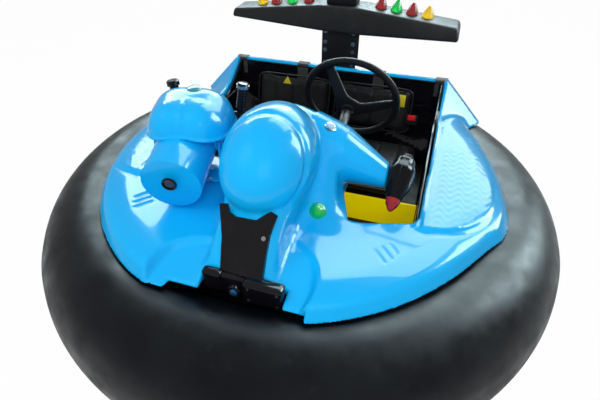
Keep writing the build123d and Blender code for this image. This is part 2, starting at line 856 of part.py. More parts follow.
with BuildPart() as gun_barrel:
    with BuildSketch(gun_axis.offset(-barrel_back)):
        Circle(barrel_r)
    extrude(amount=barrel_back + barrel_front)
    for side in (-1, 1):
        with BuildSketch(gun_cross.offset(side * (barrel_r - 8))):
            Circle(pivot_r + 10)
        extrude(amount=side * (8 + yoke_gap - 3))
        with BuildSketch(gun_cross.offset(side * (barrel_r - 14))):
            Circle(pivot_r + bore_play)
        extrude(amount=side * (14 + yoke_gap), mode=Mode.SUBTRACT)
save(gun_barrel, "gun_barrel")

with BuildPart() as gun_hood:
    for low, high, width_low, width_high, depth_low, depth_high in (
        (34.0, 96.0, 262.0, 250.0, 220.0, 205.0),
        (96.0, 158.0, 250.0, 120.0, 205.0, 110.0),
    ):
        for height, width, depth in ((low, width_low, depth_low), (high, width_high, depth_high)):
            with BuildSketch(gun_level.offset(height)):
                with Locations((0, 0)):
                    RectangleRounded(width, depth, 50)
        loft(ruled=True)
    with BuildSketch(gun_axis.offset(-barrel_back - 60)):
        Circle(barrel_r + fit)
    extrude(amount=2 * (barrel_back + barrel_front), mode=Mode.SUBTRACT)
save(gun_hood, "gun_hood")

with BuildPart() as gun_cap:
    with BuildSketch(gun_level.offset(158)):
        Circle(24)
    extrude(amount=8)
save(gun_cap, "gun_cap")

with BuildPart() as gun_lens:
    with BuildSketch(gun_axis.offset(barrel_front)):
        with Locations((0, 10)):
            Circle(15)
    extrude(amount=3)
save(gun_lens, "gun_lens")

grip_y = -barrel_back - 40.0
with BuildPart() as gun_grips:
    with BuildSketch(gun_cross.offset(-104)):
        with Locations((grip_y, 0)):
            Circle(11)
    extrude(amount=208)
    with BuildSketch(gun_axis.offset(-barrel_back)):
        Rectangle(60, 26)
    extrude(amount=grip_y + barrel_back)
    for side in (-1, 1):
        with BuildSketch(Plane(origin=gun_level.origin - gun_forward * (barrel_back + 40) + gun_side * side * 104, x_dir=gun_side, z_dir=gun_up).offset(-14)):
            Circle(17)
        extrude(amount=120)
save(gun_grips, "gun_grips")

# ================= console lamps, belts and pedal =================
with BuildPart() as belts:
    behind = back_y + back_t + fit
    before = back_y - fit
    over = back_top_z + fit
    for x in belt_places:
        with BuildSketch(Plane.YZ.offset(x - belt_w / 2)):
            with BuildLine():
                Polyline(
                    (behind, back_top_z - 40),
                    (behind, over),
                    (before, over),
                    (before, back_top_z - 60),
                    (before - belt_t, back_top_z - 60),
                    (before - belt_t, over + belt_t),
                    (behind + belt_t, over + belt_t),
                    (behind + belt_t, back_top_z - 40),
                    close=True,
                )
            make_face()
        extrude(amount=belt_w)
save(belts, "belts")

with BuildPart() as pedal:
    pedal_foot = -min(
        sqrt((plate_r - pedal_ring_gap) ** 2 - (pedal_x + pedal_w) ** 2),
        -well_front_y - tub_wall - pedal_wall_gap,
    )
    pedal_z = well_z + tub_floor
    with BuildSketch(Plane.YZ.offset(pedal_x)):
        with BuildLine():
            Polyline(
                (pedal_foot, pedal_z),
                (pedal_foot + 80, pedal_z),
                (pedal_foot + 80, pedal_z + 6),
                (pedal_foot + 40, pedal_z + 10),
                (pedal_foot - 10, pedal_z + 100),
                (pedal_foot - 18, pedal_z + 96),
                close=True,
            )
        make_face()
    extrude(amount=pedal_w)
save(pedal, "pedal")
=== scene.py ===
"""Looks of the two-seat ring-tube bumper car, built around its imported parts. Metres, +Z up, front is -Y."""
import json
import math

import bmesh
import bpy
import numpy as np
from mathutils import Matrix, Vector

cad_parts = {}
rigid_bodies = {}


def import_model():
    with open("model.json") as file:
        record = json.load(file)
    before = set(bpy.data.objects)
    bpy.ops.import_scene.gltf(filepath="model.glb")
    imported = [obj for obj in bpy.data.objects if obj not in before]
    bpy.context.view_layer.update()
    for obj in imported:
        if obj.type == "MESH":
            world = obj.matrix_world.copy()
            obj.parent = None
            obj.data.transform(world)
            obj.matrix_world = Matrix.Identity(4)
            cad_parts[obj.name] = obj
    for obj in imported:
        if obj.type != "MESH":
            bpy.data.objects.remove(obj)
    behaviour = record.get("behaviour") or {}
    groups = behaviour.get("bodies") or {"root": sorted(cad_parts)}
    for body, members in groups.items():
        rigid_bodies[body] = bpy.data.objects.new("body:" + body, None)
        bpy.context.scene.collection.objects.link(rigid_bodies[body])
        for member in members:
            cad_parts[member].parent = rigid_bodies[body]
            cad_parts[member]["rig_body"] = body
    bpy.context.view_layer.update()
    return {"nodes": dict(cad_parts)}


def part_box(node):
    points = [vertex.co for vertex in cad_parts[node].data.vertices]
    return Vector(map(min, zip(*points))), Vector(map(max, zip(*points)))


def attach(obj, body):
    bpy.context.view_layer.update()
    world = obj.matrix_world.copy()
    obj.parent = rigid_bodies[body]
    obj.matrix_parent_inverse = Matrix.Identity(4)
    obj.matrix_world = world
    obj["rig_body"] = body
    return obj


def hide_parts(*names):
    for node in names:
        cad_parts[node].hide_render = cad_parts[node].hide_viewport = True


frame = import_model()
bpy.context.scene.view_settings.view_transform = "Standard"


def linked(name, data):
    """A new object in the scene."""
    made = bpy.data.objects.new(name, data)
    bpy.context.scene.collection.objects.link(made)
    return made


# ================= camera, light and floor =================
LENS, SENSOR_WIDTH = 27, 36
CAMERA_PLACE = (0.4154, -1.2784, 1.3402)
HEADING, PITCH, ROLL = math.radians(18.06), math.radians(51.72), math.radians(-0.28)
SKY_LIGHT, SKY_SEEN, FLOOR_SEEN = 0.42, 1.0, 0.97
FLOOR_HALF = 9
PALE_SKY = (0.74, 0.95, 1.0)

# name, place, target, width, height, watts
SOFT_LIGHTS = (
    ("key", (-1.9, -1.5, 3.2), (0, 0, 0.5), 1.6, 1.6, 40),
    ("fill", (0.9, -2.2, 2.3), (0.2, 0, 0.4), 1.3, 1.1, 42),
)
SHINE_PANELS = (
    ("back_panel", (-1.9, 3.3, 2.9), (-0.3, -0.2, 0.5), 4.2, 1.7, 280),
    ("rear_panel", (1.2, 4.6, 3.5), (0.5, -0.1, 0.5), 3.6, 2.4, 250),
    ("sky_panel", (0.7, 2.9, 4.9), (0.2, -0.4, 0.5), 3.6, 2.0, 220),
    ("right_panel", (3.0, 1.6, 2.4), (0.3, 0, 0.5), 1.6, 2.4, 255),
)


def make_camera():
    data = bpy.data.cameras.new("camera")
    data.lens = LENS
    data.sensor_width = SENSOR_WIDTH
    data.clip_end = 60
    camera = linked("camera", data)
    turn = Matrix.Rotation(HEADING, 4, "Z") @ Matrix.Rotation(PITCH, 4, "X") @ Matrix.Rotation(ROLL, 4, "Z")
    camera.matrix_world = Matrix.Translation(CAMERA_PLACE) @ turn
    bpy.context.scene.camera = camera


def area_light(name, place, target, width, height, watts, tint, only_shine):
    """Rectangle of light that either lights the car or only shows in its gloss."""
    data = bpy.data.lights.new(name, "AREA")
    data.shape = "RECTANGLE"
    data.size = width
    data.size_y = height
    data.energy = watts
    data.color = tint
    light = linked(name, data)
    light.location = place
    light.rotation_euler = (Vector(target) - Vector(place)).to_track_quat("-Z", "Y").to_euler()
    light.visible_camera = False
    light.visible_diffuse = not only_shine
    light.visible_glossy = only_shine


def make_world():
    """White surroundings, bright where they are looked at and dimmer as a light."""
    world = bpy.data.worlds.new("studio")
    world.use_nodes = True
    nodes, links = world.node_tree.nodes, world.node_tree.links
    nodes.clear()
    path = nodes.new("ShaderNodeLightPath")
    seen = nodes.new("ShaderNodeMath")
    seen.operation = "MAXIMUM"
    strength = nodes.new("ShaderNodeMapRange")
    strength.inputs["To Min"].default_value = SKY_LIGHT
    strength.inputs["To Max"].default_value = SKY_SEEN
    background = nodes.new("ShaderNodeBackground")
    background.inputs["Color"].default_value = (1, 1, 1, 1)
    output = nodes.new("ShaderNodeOutputWorld")
    links.new(path.outputs["Is Camera Ray"], seen.inputs[0])
    links.new(path.outputs["Is Transmission Ray"], seen.inputs[1])
    links.new(seen.outputs[0], strength.inputs["Value"])
    links.new(strength.outputs["Result"], background.inputs["Strength"])
    links.new(background.outputs[0], output.inputs["Surface"])
    bpy.context.scene.world = world


make_camera()
make_world()
for light in SOFT_LIGHTS:
    area_light(*light, tint=(1, 1, 1), only_shine=False)
for panel in SHINE_PANELS:
    area_light(*panel, tint=PALE_SKY, only_shine=True)


# ================= finishes =================
class Finish:
    """A Principled material whose patterns read Object coordinates."""

    def __init__(self, name, colour, roughness, metallic=0.0):
        self.material = bpy.data.materials.new(name)
        self.material.use_nodes = True
        self.nodes = self.material.node_tree.nodes
        self.links = self.material.node_tree.links
        self.shader = self.nodes["Principled BSDF"]
        self.colour = (*colour, 1.0)
        self.shader.inputs["Base Color"].default_value = self.colour
        self.shader.inputs["Roughness"].default_value = roughness
        self.shader.inputs["Metallic"].default_value = metallic
        self.roughness = roughness
        self.coordinates = self.nodes.new("ShaderNodeTexCoord").outputs["Object"]
        self.bump = None

    def set(self, **values):
        """Sets shader sockets, named with underscores for their spaces."""
        for name, value in values.items():
            self.shader.inputs[name.replace("_", " ")].default_value = value

    def noise(self, scale, detail, stretch=(1, 1, 1)):
        mapping = self.nodes.new("ShaderNodeMapping")
        mapping.inputs["Scale"].default_value = stretch
        self.links.new(self.coordinates, mapping.inputs["Vector"])
        noise = self.nodes.new("ShaderNodeTexNoise")
        noise.inputs["Scale"].default_value = scale
        noise.inputs["Detail"].default_value = detail
        self.links.new(mapping.outputs["Vector"], noise.inputs["Vector"])
        return noise.outputs["Fac"]

    def mapped(self, value, low, high, to_low, to_high):
        node = self.nodes.new("ShaderNodeMapRange")
        for key, number in (("From Min", low), ("From Max", high), ("To Min", to_low), ("To Max", to_high)):
            node.inputs[key].default_value = number
        self.links.new(value, node.inputs["Value"])
        return node.outputs["Result"]

    def mottled(self, second, scale, low=0.35, high=0.7, detail=4.0):
        """Clouds of a second colour over the first."""
        mix = self.nodes.new("ShaderNodeMix")
        mix.data_type = "RGBA"
        source = self.shader.inputs["Base Color"]
        if source.is_linked:
            self.links.new(source.links[0].from_socket, mix.inputs["A"])
        else:
            mix.inputs["A"].default_value = self.colour
        mix.inputs["B"].default_value = (*second, 1.0)
        self.links.new(self.mapped(self.noise(scale, detail), low, high, 0, 1), mix.inputs["Factor"])
        self.links.new(mix.outputs["Result"], source)

    def uneven_gloss(self, scale, amount):
        """Roughness that wanders by an amount to either side."""
        least, most = max(self.roughness - amount, 0.02), self.roughness + amount
        value = self.mapped(self.noise(scale, 5.0), 0.3, 0.75, least, most)
        self.links.new(value, self.shader.inputs["Roughness"])

    def relief(self, height, distance, strength=1.0):
        """Adds a height to the bumps that are there already."""
        bump = self.nodes.new("ShaderNodeBump")
        bump.inputs["Distance"].default_value = distance
        bump.inputs["Strength"].default_value = strength
        self.links.new(height, bump.inputs["Height"])
        if self.bump:
            self.links.new(self.bump.outputs["Normal"], bump.inputs["Normal"])
        self.bump = bump
        self.links.new(bump.outputs["Normal"], self.shader.inputs["Normal"])

    def grain(self, scale, distance, strength, detail=3.0, stretch=(1, 1, 1)):
        self.relief(self.noise(scale, detail, stretch), distance, strength)

    def leather(self, scale, distance):
        cells = self.nodes.new("ShaderNodeTexVoronoi")
        cells.feature = "SMOOTH_F1"
        cells.inputs["Scale"].default_value = scale
        self.links.new(self.coordinates, cells.inputs["Vector"])
        self.relief(cells.outputs["Distance"], distance)

    def bands(self, scale, distance, direction):
        wave = self.nodes.new("ShaderNodeTexWave")
        wave.bands_direction = direction
        wave.inputs["Scale"].default_value = scale
        self.links.new(self.coordinates, wave.inputs["Vector"])
        self.relief(wave.outputs["Fac"], distance)


def toned(colour, share):
    """A colour made darker or lighter."""
    return tuple(share * c for c in colour)


def shell_paint(name, colour, dusty, glow=0.0):
    """Glossy moulded shell with soft waves and fine orange peel; a glow above zero paints light into its
    colour.
    """
    paint = Finish(name, colour, 0.24)
    paint.set(Emission_Color=(*colour, 1.0), Emission_Strength=glow)
    paint.set(Specular_IOR_Level=0.12, Coat_Weight=0.42, Coat_Roughness=0.04, Coat_IOR=1.5)
    paint.mottled(dusty, 3.2, 0.45, 0.95)
    paint.uneven_gloss(9.0, 0.07)
    paint.grain(26.0, 0.0006, 0.5, detail=1.0)
    paint.grain(900.0, 0.00012, 0.35)
    return paint.material


def rubber(name, colour, dusty, scale=5.0, roughness=0.42):
    """Dusty black skin, with shallow dents besides its grain."""
    skin = Finish(name, colour, roughness)
    skin.set(Specular_IOR_Level=0.26)
    skin.mottled(dusty, scale, 0.42, 0.85, detail=6.0)
    skin.mottled(toned(dusty, 1.7), 38.0, 0.62, 0.9, detail=8.0)
    skin.uneven_gloss(14.0, 0.13)
    skin.grain(420.0, 0.0004, 0.6)
    skin.grain(9.0, 0.004, 0.5, detail=2.0)
    return skin.material


def gloss_black(name, coat=0.4):
    trim = Finish(name, (0.003, 0.003, 0.005), 0.16)
    trim.set(Specular_IOR_Level=0.15, Coat_Weight=coat, Coat_Roughness=0.05)
    trim.mottled((0.008, 0.008, 0.011), 30.0, 0.55, 0.9)
    trim.uneven_gloss(25.0, 0.06)
    trim.grain(700.0, 0.0002, 0.5)
    return trim.material


def moulded_plastic(name, colour, roughness=0.48):
    plastic = Finish(name, colour, roughness)
    plastic.set(Specular_IOR_Level=0.28)
    plastic.mottled(toned(colour, 2.0), 12.0, 0.5, 0.9)
    plastic.uneven_gloss(30.0, 0.1)
    plastic.grain(800.0, 0.0005, 0.8)
    return plastic.material


def steel(name, colour, roughness, metallic, brushed=False):
    metal = Finish(name, colour, roughness, metallic)
    metal.mottled(toned(colour, 0.6), 18.0, 0.5, 0.85)
    metal.uneven_gloss(40.0, 0.12)
    metal.grain(320.0, 0.0003, 0.6, stretch=(1, 12, 1) if brushed else (1, 1, 1))
    return metal.material


def lamp_plastic(name, colour, clear=0.35, glow=0.05):
    """Tinted lens, clear in part, with fine diagonal ribs."""
    lamp = Finish(name, colour, 0.12)
    lamp.set(Transmission_Weight=clear, Coat_Weight=1.0, Coat_Roughness=0.03, IOR=1.45)
    lamp.set(Emission_Color=(*colour, 1.0), Emission_Strength=glow)
    lamp.mottled(toned(colour, 0.7), 60.0, 0.45, 0.8)
    lamp.bands(70.0, 0.0006, "DIAGONAL")
    return lamp.material


def seat_vinyl():
    vinyl = Finish("seat_vinyl", (0.006, 0.006, 0.0065), 0.42)
    vinyl.set(Specular_IOR_Level=0.3, Sheen_Weight=0.04, Sheen_Roughness=0.4)
    vinyl.mottled((0.014, 0.0135, 0.012), 7.0, 0.45, 0.85)
    vinyl.uneven_gloss(16.0, 0.1)
    vinyl.leather(520.0, 0.0009)
    vinyl.grain(30.0, 0.003, 0.5, detail=2.0)
    return vinyl.material


def belt_webbing():
    band = Finish("belt_webbing", (0.012, 0.012, 0.013), 0.62)
    band.set(Sheen_Weight=0.3, Sheen_Roughness=0.5)
    band.mottled((0.04, 0.039, 0.037), 24.0, 0.45, 0.9)
    band.bands(330.0, 0.0006, "X")
    band.bands(240.0, 0.0005, "DIAGONAL")
    return band.material


def floor_finish():
    """Pale floor that is nearly white where it is looked at."""
    ground = Finish("pale_floor", (0.86, 0.86, 0.86), 0.7)
    ground.mottled((0.82, 0.82, 0.82), 1.5)
    ground.grain(60.0, 0.0004, 0.3)
    path = ground.nodes.new("ShaderNodeLightPath")
    white = ground.nodes.new("ShaderNodeEmission")
    white.inputs["Strength"].default_value = 1.0
    share = ground.nodes.new("ShaderNodeMath")
    share.operation = "MULTIPLY"
    share.inputs[1].default_value = FLOOR_SEEN
    mix = ground.nodes.new("ShaderNodeMixShader")
    output = ground.nodes["Material Output"]
    ground.links.new(path.outputs["Is Camera Ray"], share.inputs[0])
    ground.links.new(share.outputs[0], mix.inputs["Fac"])
    ground.links.new(ground.shader.outputs[0], mix.inputs[1])
    ground.links.new(white.outputs[0], mix.inputs[2])
    ground.links.new(mix.outputs[0], output.inputs["Surface"])
    return ground.material


BLUE = shell_paint("shell_blue", (0.003, 0.40, 0.84), (0.006, 0.45, 0.88))
TUBE = rubber("tube_rubber", (0.0006, 0.0014, 0.0034), (0.0046, 0.0066, 0.0090))
TYRE = rubber("tyre_rubber", (0.020, 0.020, 0.020), (0.055, 0.052, 0.048), 14.0, 0.7)
GLOSS = gloss_black("gloss_black")
POD_BLACK = gloss_black("pod_black", coat=0.12)
MATT = moulded_plastic("moulded_black", (0.007, 0.007, 0.008))
BOARD = moulded_plastic("board_grey", (0.013, 0.014, 0.015), 0.42)
# The seat front's yellow glows at 0.30 of its colour: painted light that stands in for light reaching it
# inside the cockpit.
YELLOW_PAINTED_GLOW = shell_paint("panel_yellow_painted_glow", (0.95, 0.76, 0.0), (0.88, 0.68, 0.002), 0.30)
LABEL = moulded_plastic("label_yellow", (0.42, 0.36, 0.01), 0.4)
STEERING_BLACK = moulded_plastic("steering_black", (0.006, 0.006, 0.007), 0.34)
PAINTED = steel("painted_steel", (0.022, 0.022, 0.024), 0.42, 0.2)
STEEL = steel("plain_steel", (0.55, 0.55, 0.56), 0.32, 1.0, brushed=True)
ALLOY = steel("hub_alloy", (0.62, 0.63, 0.64), 0.38, 1.0)
VINYL = seat_vinyl()
WEBBING = belt_webbing()
RED = lamp_plastic("lamp_red", (0.36, 0.001, 0.006), 0.2, 0.02)
GREEN = lamp_plastic("lamp_green", (0.0, 0.62, 0.10))
AMBER = lamp_plastic("lamp_yellow", (0.90, 0.62, 0.0))
LENS_BLUE = lamp_plastic("lamp_blue", (0.004, 0.08, 0.20), 0.2, 0.0)
CLEAR = lamp_plastic("lamp_clear", (0.80, 0.86, 0.90), 0.6, 0.0)
LENS_BROWN = lamp_plastic("barrel_lens", (0.045, 0.018, 0.014), 0.2, 0.0)
TEAL = shell_paint("cap_teal", (0.03, 0.22, 0.27), (0.04, 0.26, 0.30))
BUCKLE = shell_paint("buckle_red", (0.55, 0.01, 0.015), (0.40, 0.01, 0.01))


# ================= making and keeping pieces =================
MERGE_DISTANCE, FLAT_ANGLE, SHARP_ANGLE = 2e-5, math.radians(0.8), math.radians(30.0)


def new_piece(name, mesh, material, body, replaced=(), smooth_angle=40):
    """Links a mesh as a piece of the car, fixed to its rigid body."""
    piece = linked(name, mesh)
    mesh.materials.clear()
    mesh.materials.append(material)
    mesh.polygons.foreach_set("material_index", np.zeros(len(mesh.polygons), np.int32))
    mesh.shade_smooth()
    mesh.set_sharp_from_angle(angle=math.radians(smooth_angle))
    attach(piece, body)
    if replaced:
        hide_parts(*replaced)
    return piece


def mesh_from(name, points, faces):
    mesh = bpy.data.meshes.new(name)
    mesh.from_pydata([tuple(p) for p in points], [], [tuple(int(i) for i in f) for f in faces])
    mesh.update()
    return mesh


def mesh_of(work, name):
    """Keeps a work mesh under a name and frees it."""
    mesh = bpy.data.meshes.new(name)
    work.to_mesh(mesh)
    work.free()
    return mesh


def outward(mesh):
    """Merges doubles and turns every face outwards."""
    work = bmesh.new()
    work.from_mesh(mesh)
    bmesh.ops.remove_doubles(work, verts=work.verts, dist=1e-6)
    bmesh.ops.recalc_face_normals(work, faces=work.faces)
    work.to_mesh(mesh)
    work.free()
    mesh.update()
    return mesh


def joined(name, meshes):
    """One mesh from several."""
    work = bmesh.new()
    for mesh in meshes:
        work.from_mesh(mesh)
    return mesh_of(work, name)


def moved(mesh, matrix):
    mesh.transform(matrix)
    if matrix.determinant() < 0:
        mesh.flip_normals()
    return mesh


def evaluated_mesh(piece):
    """The piece's mesh as its modifiers leave it."""
    return bpy.data.meshes.new_from_object(piece.evaluated_get(bpy.context.evaluated_depsgraph_get()))


def points_of(mesh):
    points = np.empty(len(mesh.vertices) * 3, np.float32)
    mesh.vertices.foreach_get("co", points)
    return points.reshape(-1, 3)


def middle_of(low, high):
    return (Vector(low) + Vector(high)) / 2


def frame_at(origin, x_axis, z_axis):
    """Matrix of a place whose local Z is z_axis and whose local X is near x_axis."""
    z = Vector(z_axis).normalized()
    x = Vector(x_axis)
    x = (x - z * x.dot(z)).normalized()
    y = z.cross(x)
    return Matrix.Translation(origin) @ Matrix((x, y, z)).transposed().to_4x4()


def turns(count):
    """Angles that share out a full turn."""
    return [2 * math.pi * i / count for i in range(count)]


def rings_mesh(name, rings, closed_loop=False):
    """Skin over rings with as many points each, closed at both ends unless the rings meet in a loop."""
    count = len(rings[0])
    points = [p for ring in rings for p in ring]
    faces = []
    spans = len(rings) if closed_loop else len(rings) - 1
    for i in range(spans):
        here, there = i * count, ((i + 1) % len(rings)) * count
        for j in range(count):
            k = (j + 1) % count
            faces.append((here + j, here + k, there + k, there + j))
    if not closed_loop:
        faces.append(tuple(range(count))[::-1])
        faces.append(tuple(range(spans * count, len(points))))
    return outward(mesh_from(name, points, faces))


def lathe(name, profile, steps, matrix=Matrix()):
    """Turns a closed (radius, height) profile round the local Z."""
    rings = [
        [matrix @ Vector((r * math.cos(a), r * math.sin(a), h)) for r, h in profile] for a in turns(steps)
    ]
    return rings_mesh(name, rings, closed_loop=True)


def dome_profile(radius, height, rim):
    """Profile of a shallow cap that closes on the axis, with a straight rim below it."""
    steps, axis = 10, 1e-5
    points = [(axis, -rim), (radius, -rim)]
    for i in range(steps + 1):
        a = 0.5 * math.pi * i / steps
        points.append((max(radius * math.cos(a), axis), height * math.sin(a)))
    return points


def superellipse(half_u, half_v, power, count):
    """Points round a rounded rectangle that is squarer for a higher power."""
    def eased(half, share):
        return half * math.copysign(abs(share) ** (2 / power), share)

    return [(eased(half_u, math.cos(a)), eased(half_v, math.sin(a))) for a in turns(count)]


def round_section(radius, count):
    return [(radius * math.cos(a), radius * math.sin(a)) for a in turns(count)]


def swept(name, path, section, closed_loop=False):
    """Skin of a (side, rise) section carried along a path of points."""
    path = [Vector(p) for p in path]
    rings = []
    for i, place in enumerate(path):
        before = path[i - 1] if i or closed_loop else place
        after = path[(i + 1) % len(path)] if i < len(path) - 1 or closed_loop else place
        along = (after - before).normalized()
        side = along.cross(Vector((0, 0, 1))).normalized()
        rise = side.cross(along)
        rings.append([place + side * u + rise * v for u, v in section])
    return rings_mesh(name, rings, closed_loop)


def round_edges(work, edges, width, segments):
    bmesh.ops.bevel(
        work, geom=edges, offset=width, segments=segments, affect="EDGES", clamp_overlap=True, profile=0.5
    )


def smooth_box(name, low, high, edge, segments=3, matrix=Matrix()):
    """A box with rounded edges, in the car's frame or under a matrix."""
    work = bmesh.new()
    bmesh.ops.create_cube(work, size=1.0)
    bmesh.ops.scale(work, vec=Vector(high) - Vector(low), verts=work.verts)
    bmesh.ops.translate(work, vec=middle_of(low, high), verts=work.verts)
    round_edges(work, list(work.edges), edge, segments)
    return moved(mesh_of(work, name), matrix)


def eased_copy(node, width, segments):
    """A node's own form with its sharp edges rounded."""
    work = bmesh.new()
    work.from_mesh(frame["nodes"][node].data)
    bmesh.ops.remove_doubles(work, verts=work.verts, dist=MERGE_DISTANCE)
    bmesh.ops.dissolve_limit(work, angle_limit=FLAT_ANGLE, verts=work.verts, edges=work.edges, delimit=set())
    sharp = [e for e in work.edges if len(e.link_faces) == 2 and e.calc_face_angle(0) > SHARP_ANGLE]
    round_edges(work, sharp, width, segments)
    return mesh_of(work, node + "_eased")


def dress(node, material, width, segments=2):
    """Replaces a node by its eased form in a finish."""
    name = node.replace("_", "-") + "-finished"
    body = frame["nodes"][node]["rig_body"]
    return new_piece(name, eased_copy(node, width, segments), material, body, (node,), 35)


def paint_node(node, material):
    """Gives a node that shows as it is a finish of its own."""
    for slot in frame["nodes"][node].material_slots:
        slot.material = material


# ================= fastener heads, set out by geometry nodes =================
HEAD_SIDES, WASHER_SIDES, WASHER_THICKNESS = 6, 18, 0.0016


def fastener_tree():
    """A hexagon head on a round washer at each spot, turned to the spot's direction."""
    tree = bpy.data.node_groups.new("fastener_heads", "GeometryNodeTree")
    face = tree.interface
    face.new_socket("Spots", in_out="INPUT", socket_type="NodeSocketGeometry")
    for label in ("Head radius", "Head height", "Washer radius"):
        face.new_socket(label, in_out="INPUT", socket_type="NodeSocketFloat")
    face.new_socket("Finish", in_out="INPUT", socket_type="NodeSocketMaterial")
    face.new_socket("Heads", in_out="OUTPUT", socket_type="NodeSocketGeometry")
    nodes, links = tree.nodes, tree.links
    given, result = nodes.new("NodeGroupInput"), nodes.new("NodeGroupOutput")
    head, washer = nodes.new("GeometryNodeMeshCylinder"), nodes.new("GeometryNodeMeshCylinder")
    head.inputs["Vertices"].default_value = HEAD_SIDES
    washer.inputs["Vertices"].default_value = WASHER_SIDES
    washer.inputs["Depth"].default_value = WASHER_THICKNESS
    both_parts = nodes.new("GeometryNodeJoinGeometry")
    direction = nodes.new("GeometryNodeInputNamedAttribute")
    direction.data_type = "FLOAT_VECTOR"
    direction.inputs["Name"].default_value = "direction"
    align = nodes.new("FunctionNodeAlignRotationToVector")
    align.axis = "Z"
    on_points = nodes.new("GeometryNodeInstanceOnPoints")
    realize = nodes.new("GeometryNodeRealizeInstances")
    finish = nodes.new("GeometryNodeSetMaterial")
    for source, output, target, socket in (
        (given, "Head radius", head, "Radius"),
        (given, "Head height", head, "Depth"),
        (given, "Washer radius", washer, "Radius"),
        (head, "Mesh", both_parts, "Geometry"),
        (washer, "Mesh", both_parts, "Geometry"),
        (direction, "Attribute", align, "Vector"),
        (given, "Spots", on_points, "Points"),
        (both_parts, "Geometry", on_points, "Instance"),
        (align, "Rotation", on_points, "Rotation"),
        (on_points, "Instances", realize, "Geometry"),
        (realize, "Geometry", finish, "Geometry"),
        (given, "Finish", finish, "Material"),
        (finish, "Geometry", result, "Heads"),
    ):
        links.new(source.outputs[output], target.inputs[socket])
    return tree


FASTENERS = fastener_tree()


def fasteners(name, spots, body, radius, height, washer):
    """Plain steel heads and washers at (place, direction) spots."""
    mesh = mesh_from(name, [place for place, _ in spots], [])
    direction = mesh.attributes.new("direction", "FLOAT_VECTOR", "POINT")
    direction.data.foreach_set("vector", [c for _, d in spots for c in Vector(d).normalized()])
    holder = linked(name + "_spots", mesh)
    modifier = holder.modifiers.new("heads", "NODES")
    modifier.node_group = FASTENERS
    wanted = {"Head radius": radius, "Head height": height, "Washer radius": washer, "Finish": STEEL}
    for item in FASTENERS.interface.items_tree:
        if item.in_out == "INPUT" and item.name in wanted:
            modifier[item.identifier] = wanted[item.name]
    heads = evaluated_mesh(holder)
    bpy.data.objects.remove(holder)
    new_piece(name, heads, STEEL, body, smooth_angle=30)


# ================= signed-distance forms: below zero is inside =================
def union(a, b, k):
    """Both forms together, blended over the width k."""
    share = np.clip(0.5 + 0.5 * (b - a) / k, 0, 1)
    return b * (1 - share) + a * share - k * share * (1 - share)


def both(a, b, k):
    """What lies in both forms."""
    return -union(-a, -b, k)


def cut(a, b, k):
    """The first form without the second."""
    return -union(-a, b, k)


def slab(value, low, high):
    """What lies between two values."""
    return np.maximum(low - value, value - high)


def rounded_rect(u, v, half_u, half_v, corner):
    """Distance to a rectangle with round corners."""
    du = np.abs(u) - half_u + corner
    dv = np.abs(v) - half_v + corner
    outside = np.hypot(np.maximum(du, 0), np.maximum(dv, 0))
    return outside + np.minimum(np.maximum(du, dv), 0) - corner


def ramp(value, low, high):
    """Eased step from none to one."""
    t = np.clip((value - low) / (high - low), 0, 1)
    return t * t * (3 - 2 * t)


def crossing_means(field, cells):
    """Mean place, within each cell, of where its edges cross the surface."""
    total, hits = np.zeros((len(cells), 3)), np.zeros(len(cells))
    for axis in range(3):
        others = [a for a in range(3) if a != axis]
        for p, q in ((0, 0), (0, 1), (1, 0), (1, 1)):
            start = np.zeros(3, int)
            start[others] = p, q
            end = start.copy()
            end[axis] = 1
            a, b = field[tuple((cells + start).T)], field[tuple((cells + end).T)]
            crossed = (a < 0) != (b < 0)
            point = np.tile(start.astype(float), (len(cells), 1))
            point[:, axis] = np.where(crossed, a / np.where(crossed, a - b, 1), 0)
            total[crossed] += point[crossed]
            hits += crossed
    return total / hits[:, None]


def drawn_onto(form, points, reach):
    """Points moved down the form's slope to its surface, three steps of at most the reach."""
    nudge = 0.0004
    for _ in range(3):
        slope = np.stack(
            [(form(*(points + d).T) - form(*(points - d).T)) / (2 * nudge) for d in nudge * np.eye(3)], axis=1
        )
        steepness = np.maximum((slope**2).sum(1), 0.05)
        shift = -form(*points.T)[:, None] * slope / steepness[:, None]
        length = np.linalg.norm(shift, axis=1, keepdims=True)
        points = points + shift * np.minimum(1, reach / np.maximum(length, 1e-9))
    return points


def crossing_quads(inside, index):
    """A face between the four cells round each grid edge that crosses the surface."""
    faces = []
    for axis in range(3):
        u, v = [(1, 2), (2, 0), (0, 1)][axis]
        step_u, step_v = np.eye(3, dtype=int)[u], np.eye(3, dtype=int)[v]
        first = inside[tuple(slice(0, -1) if a == axis else slice(1, -1) for a in range(3))]
        last = inside[tuple(slice(1, None) if a == axis else slice(1, -1) for a in range(3))]
        for turned in (False, True):
            spots = np.argwhere(last & ~first if turned else first & ~last) + step_u + step_v
            quad = [spots - step_u - step_v, spots - step_v, spots, spots - step_u]
            ids = np.stack([index[tuple(c.T)] for c in quad], axis=1)
            faces.append(ids[:, ::-1] if turned else ids)
    return np.concatenate(faces)


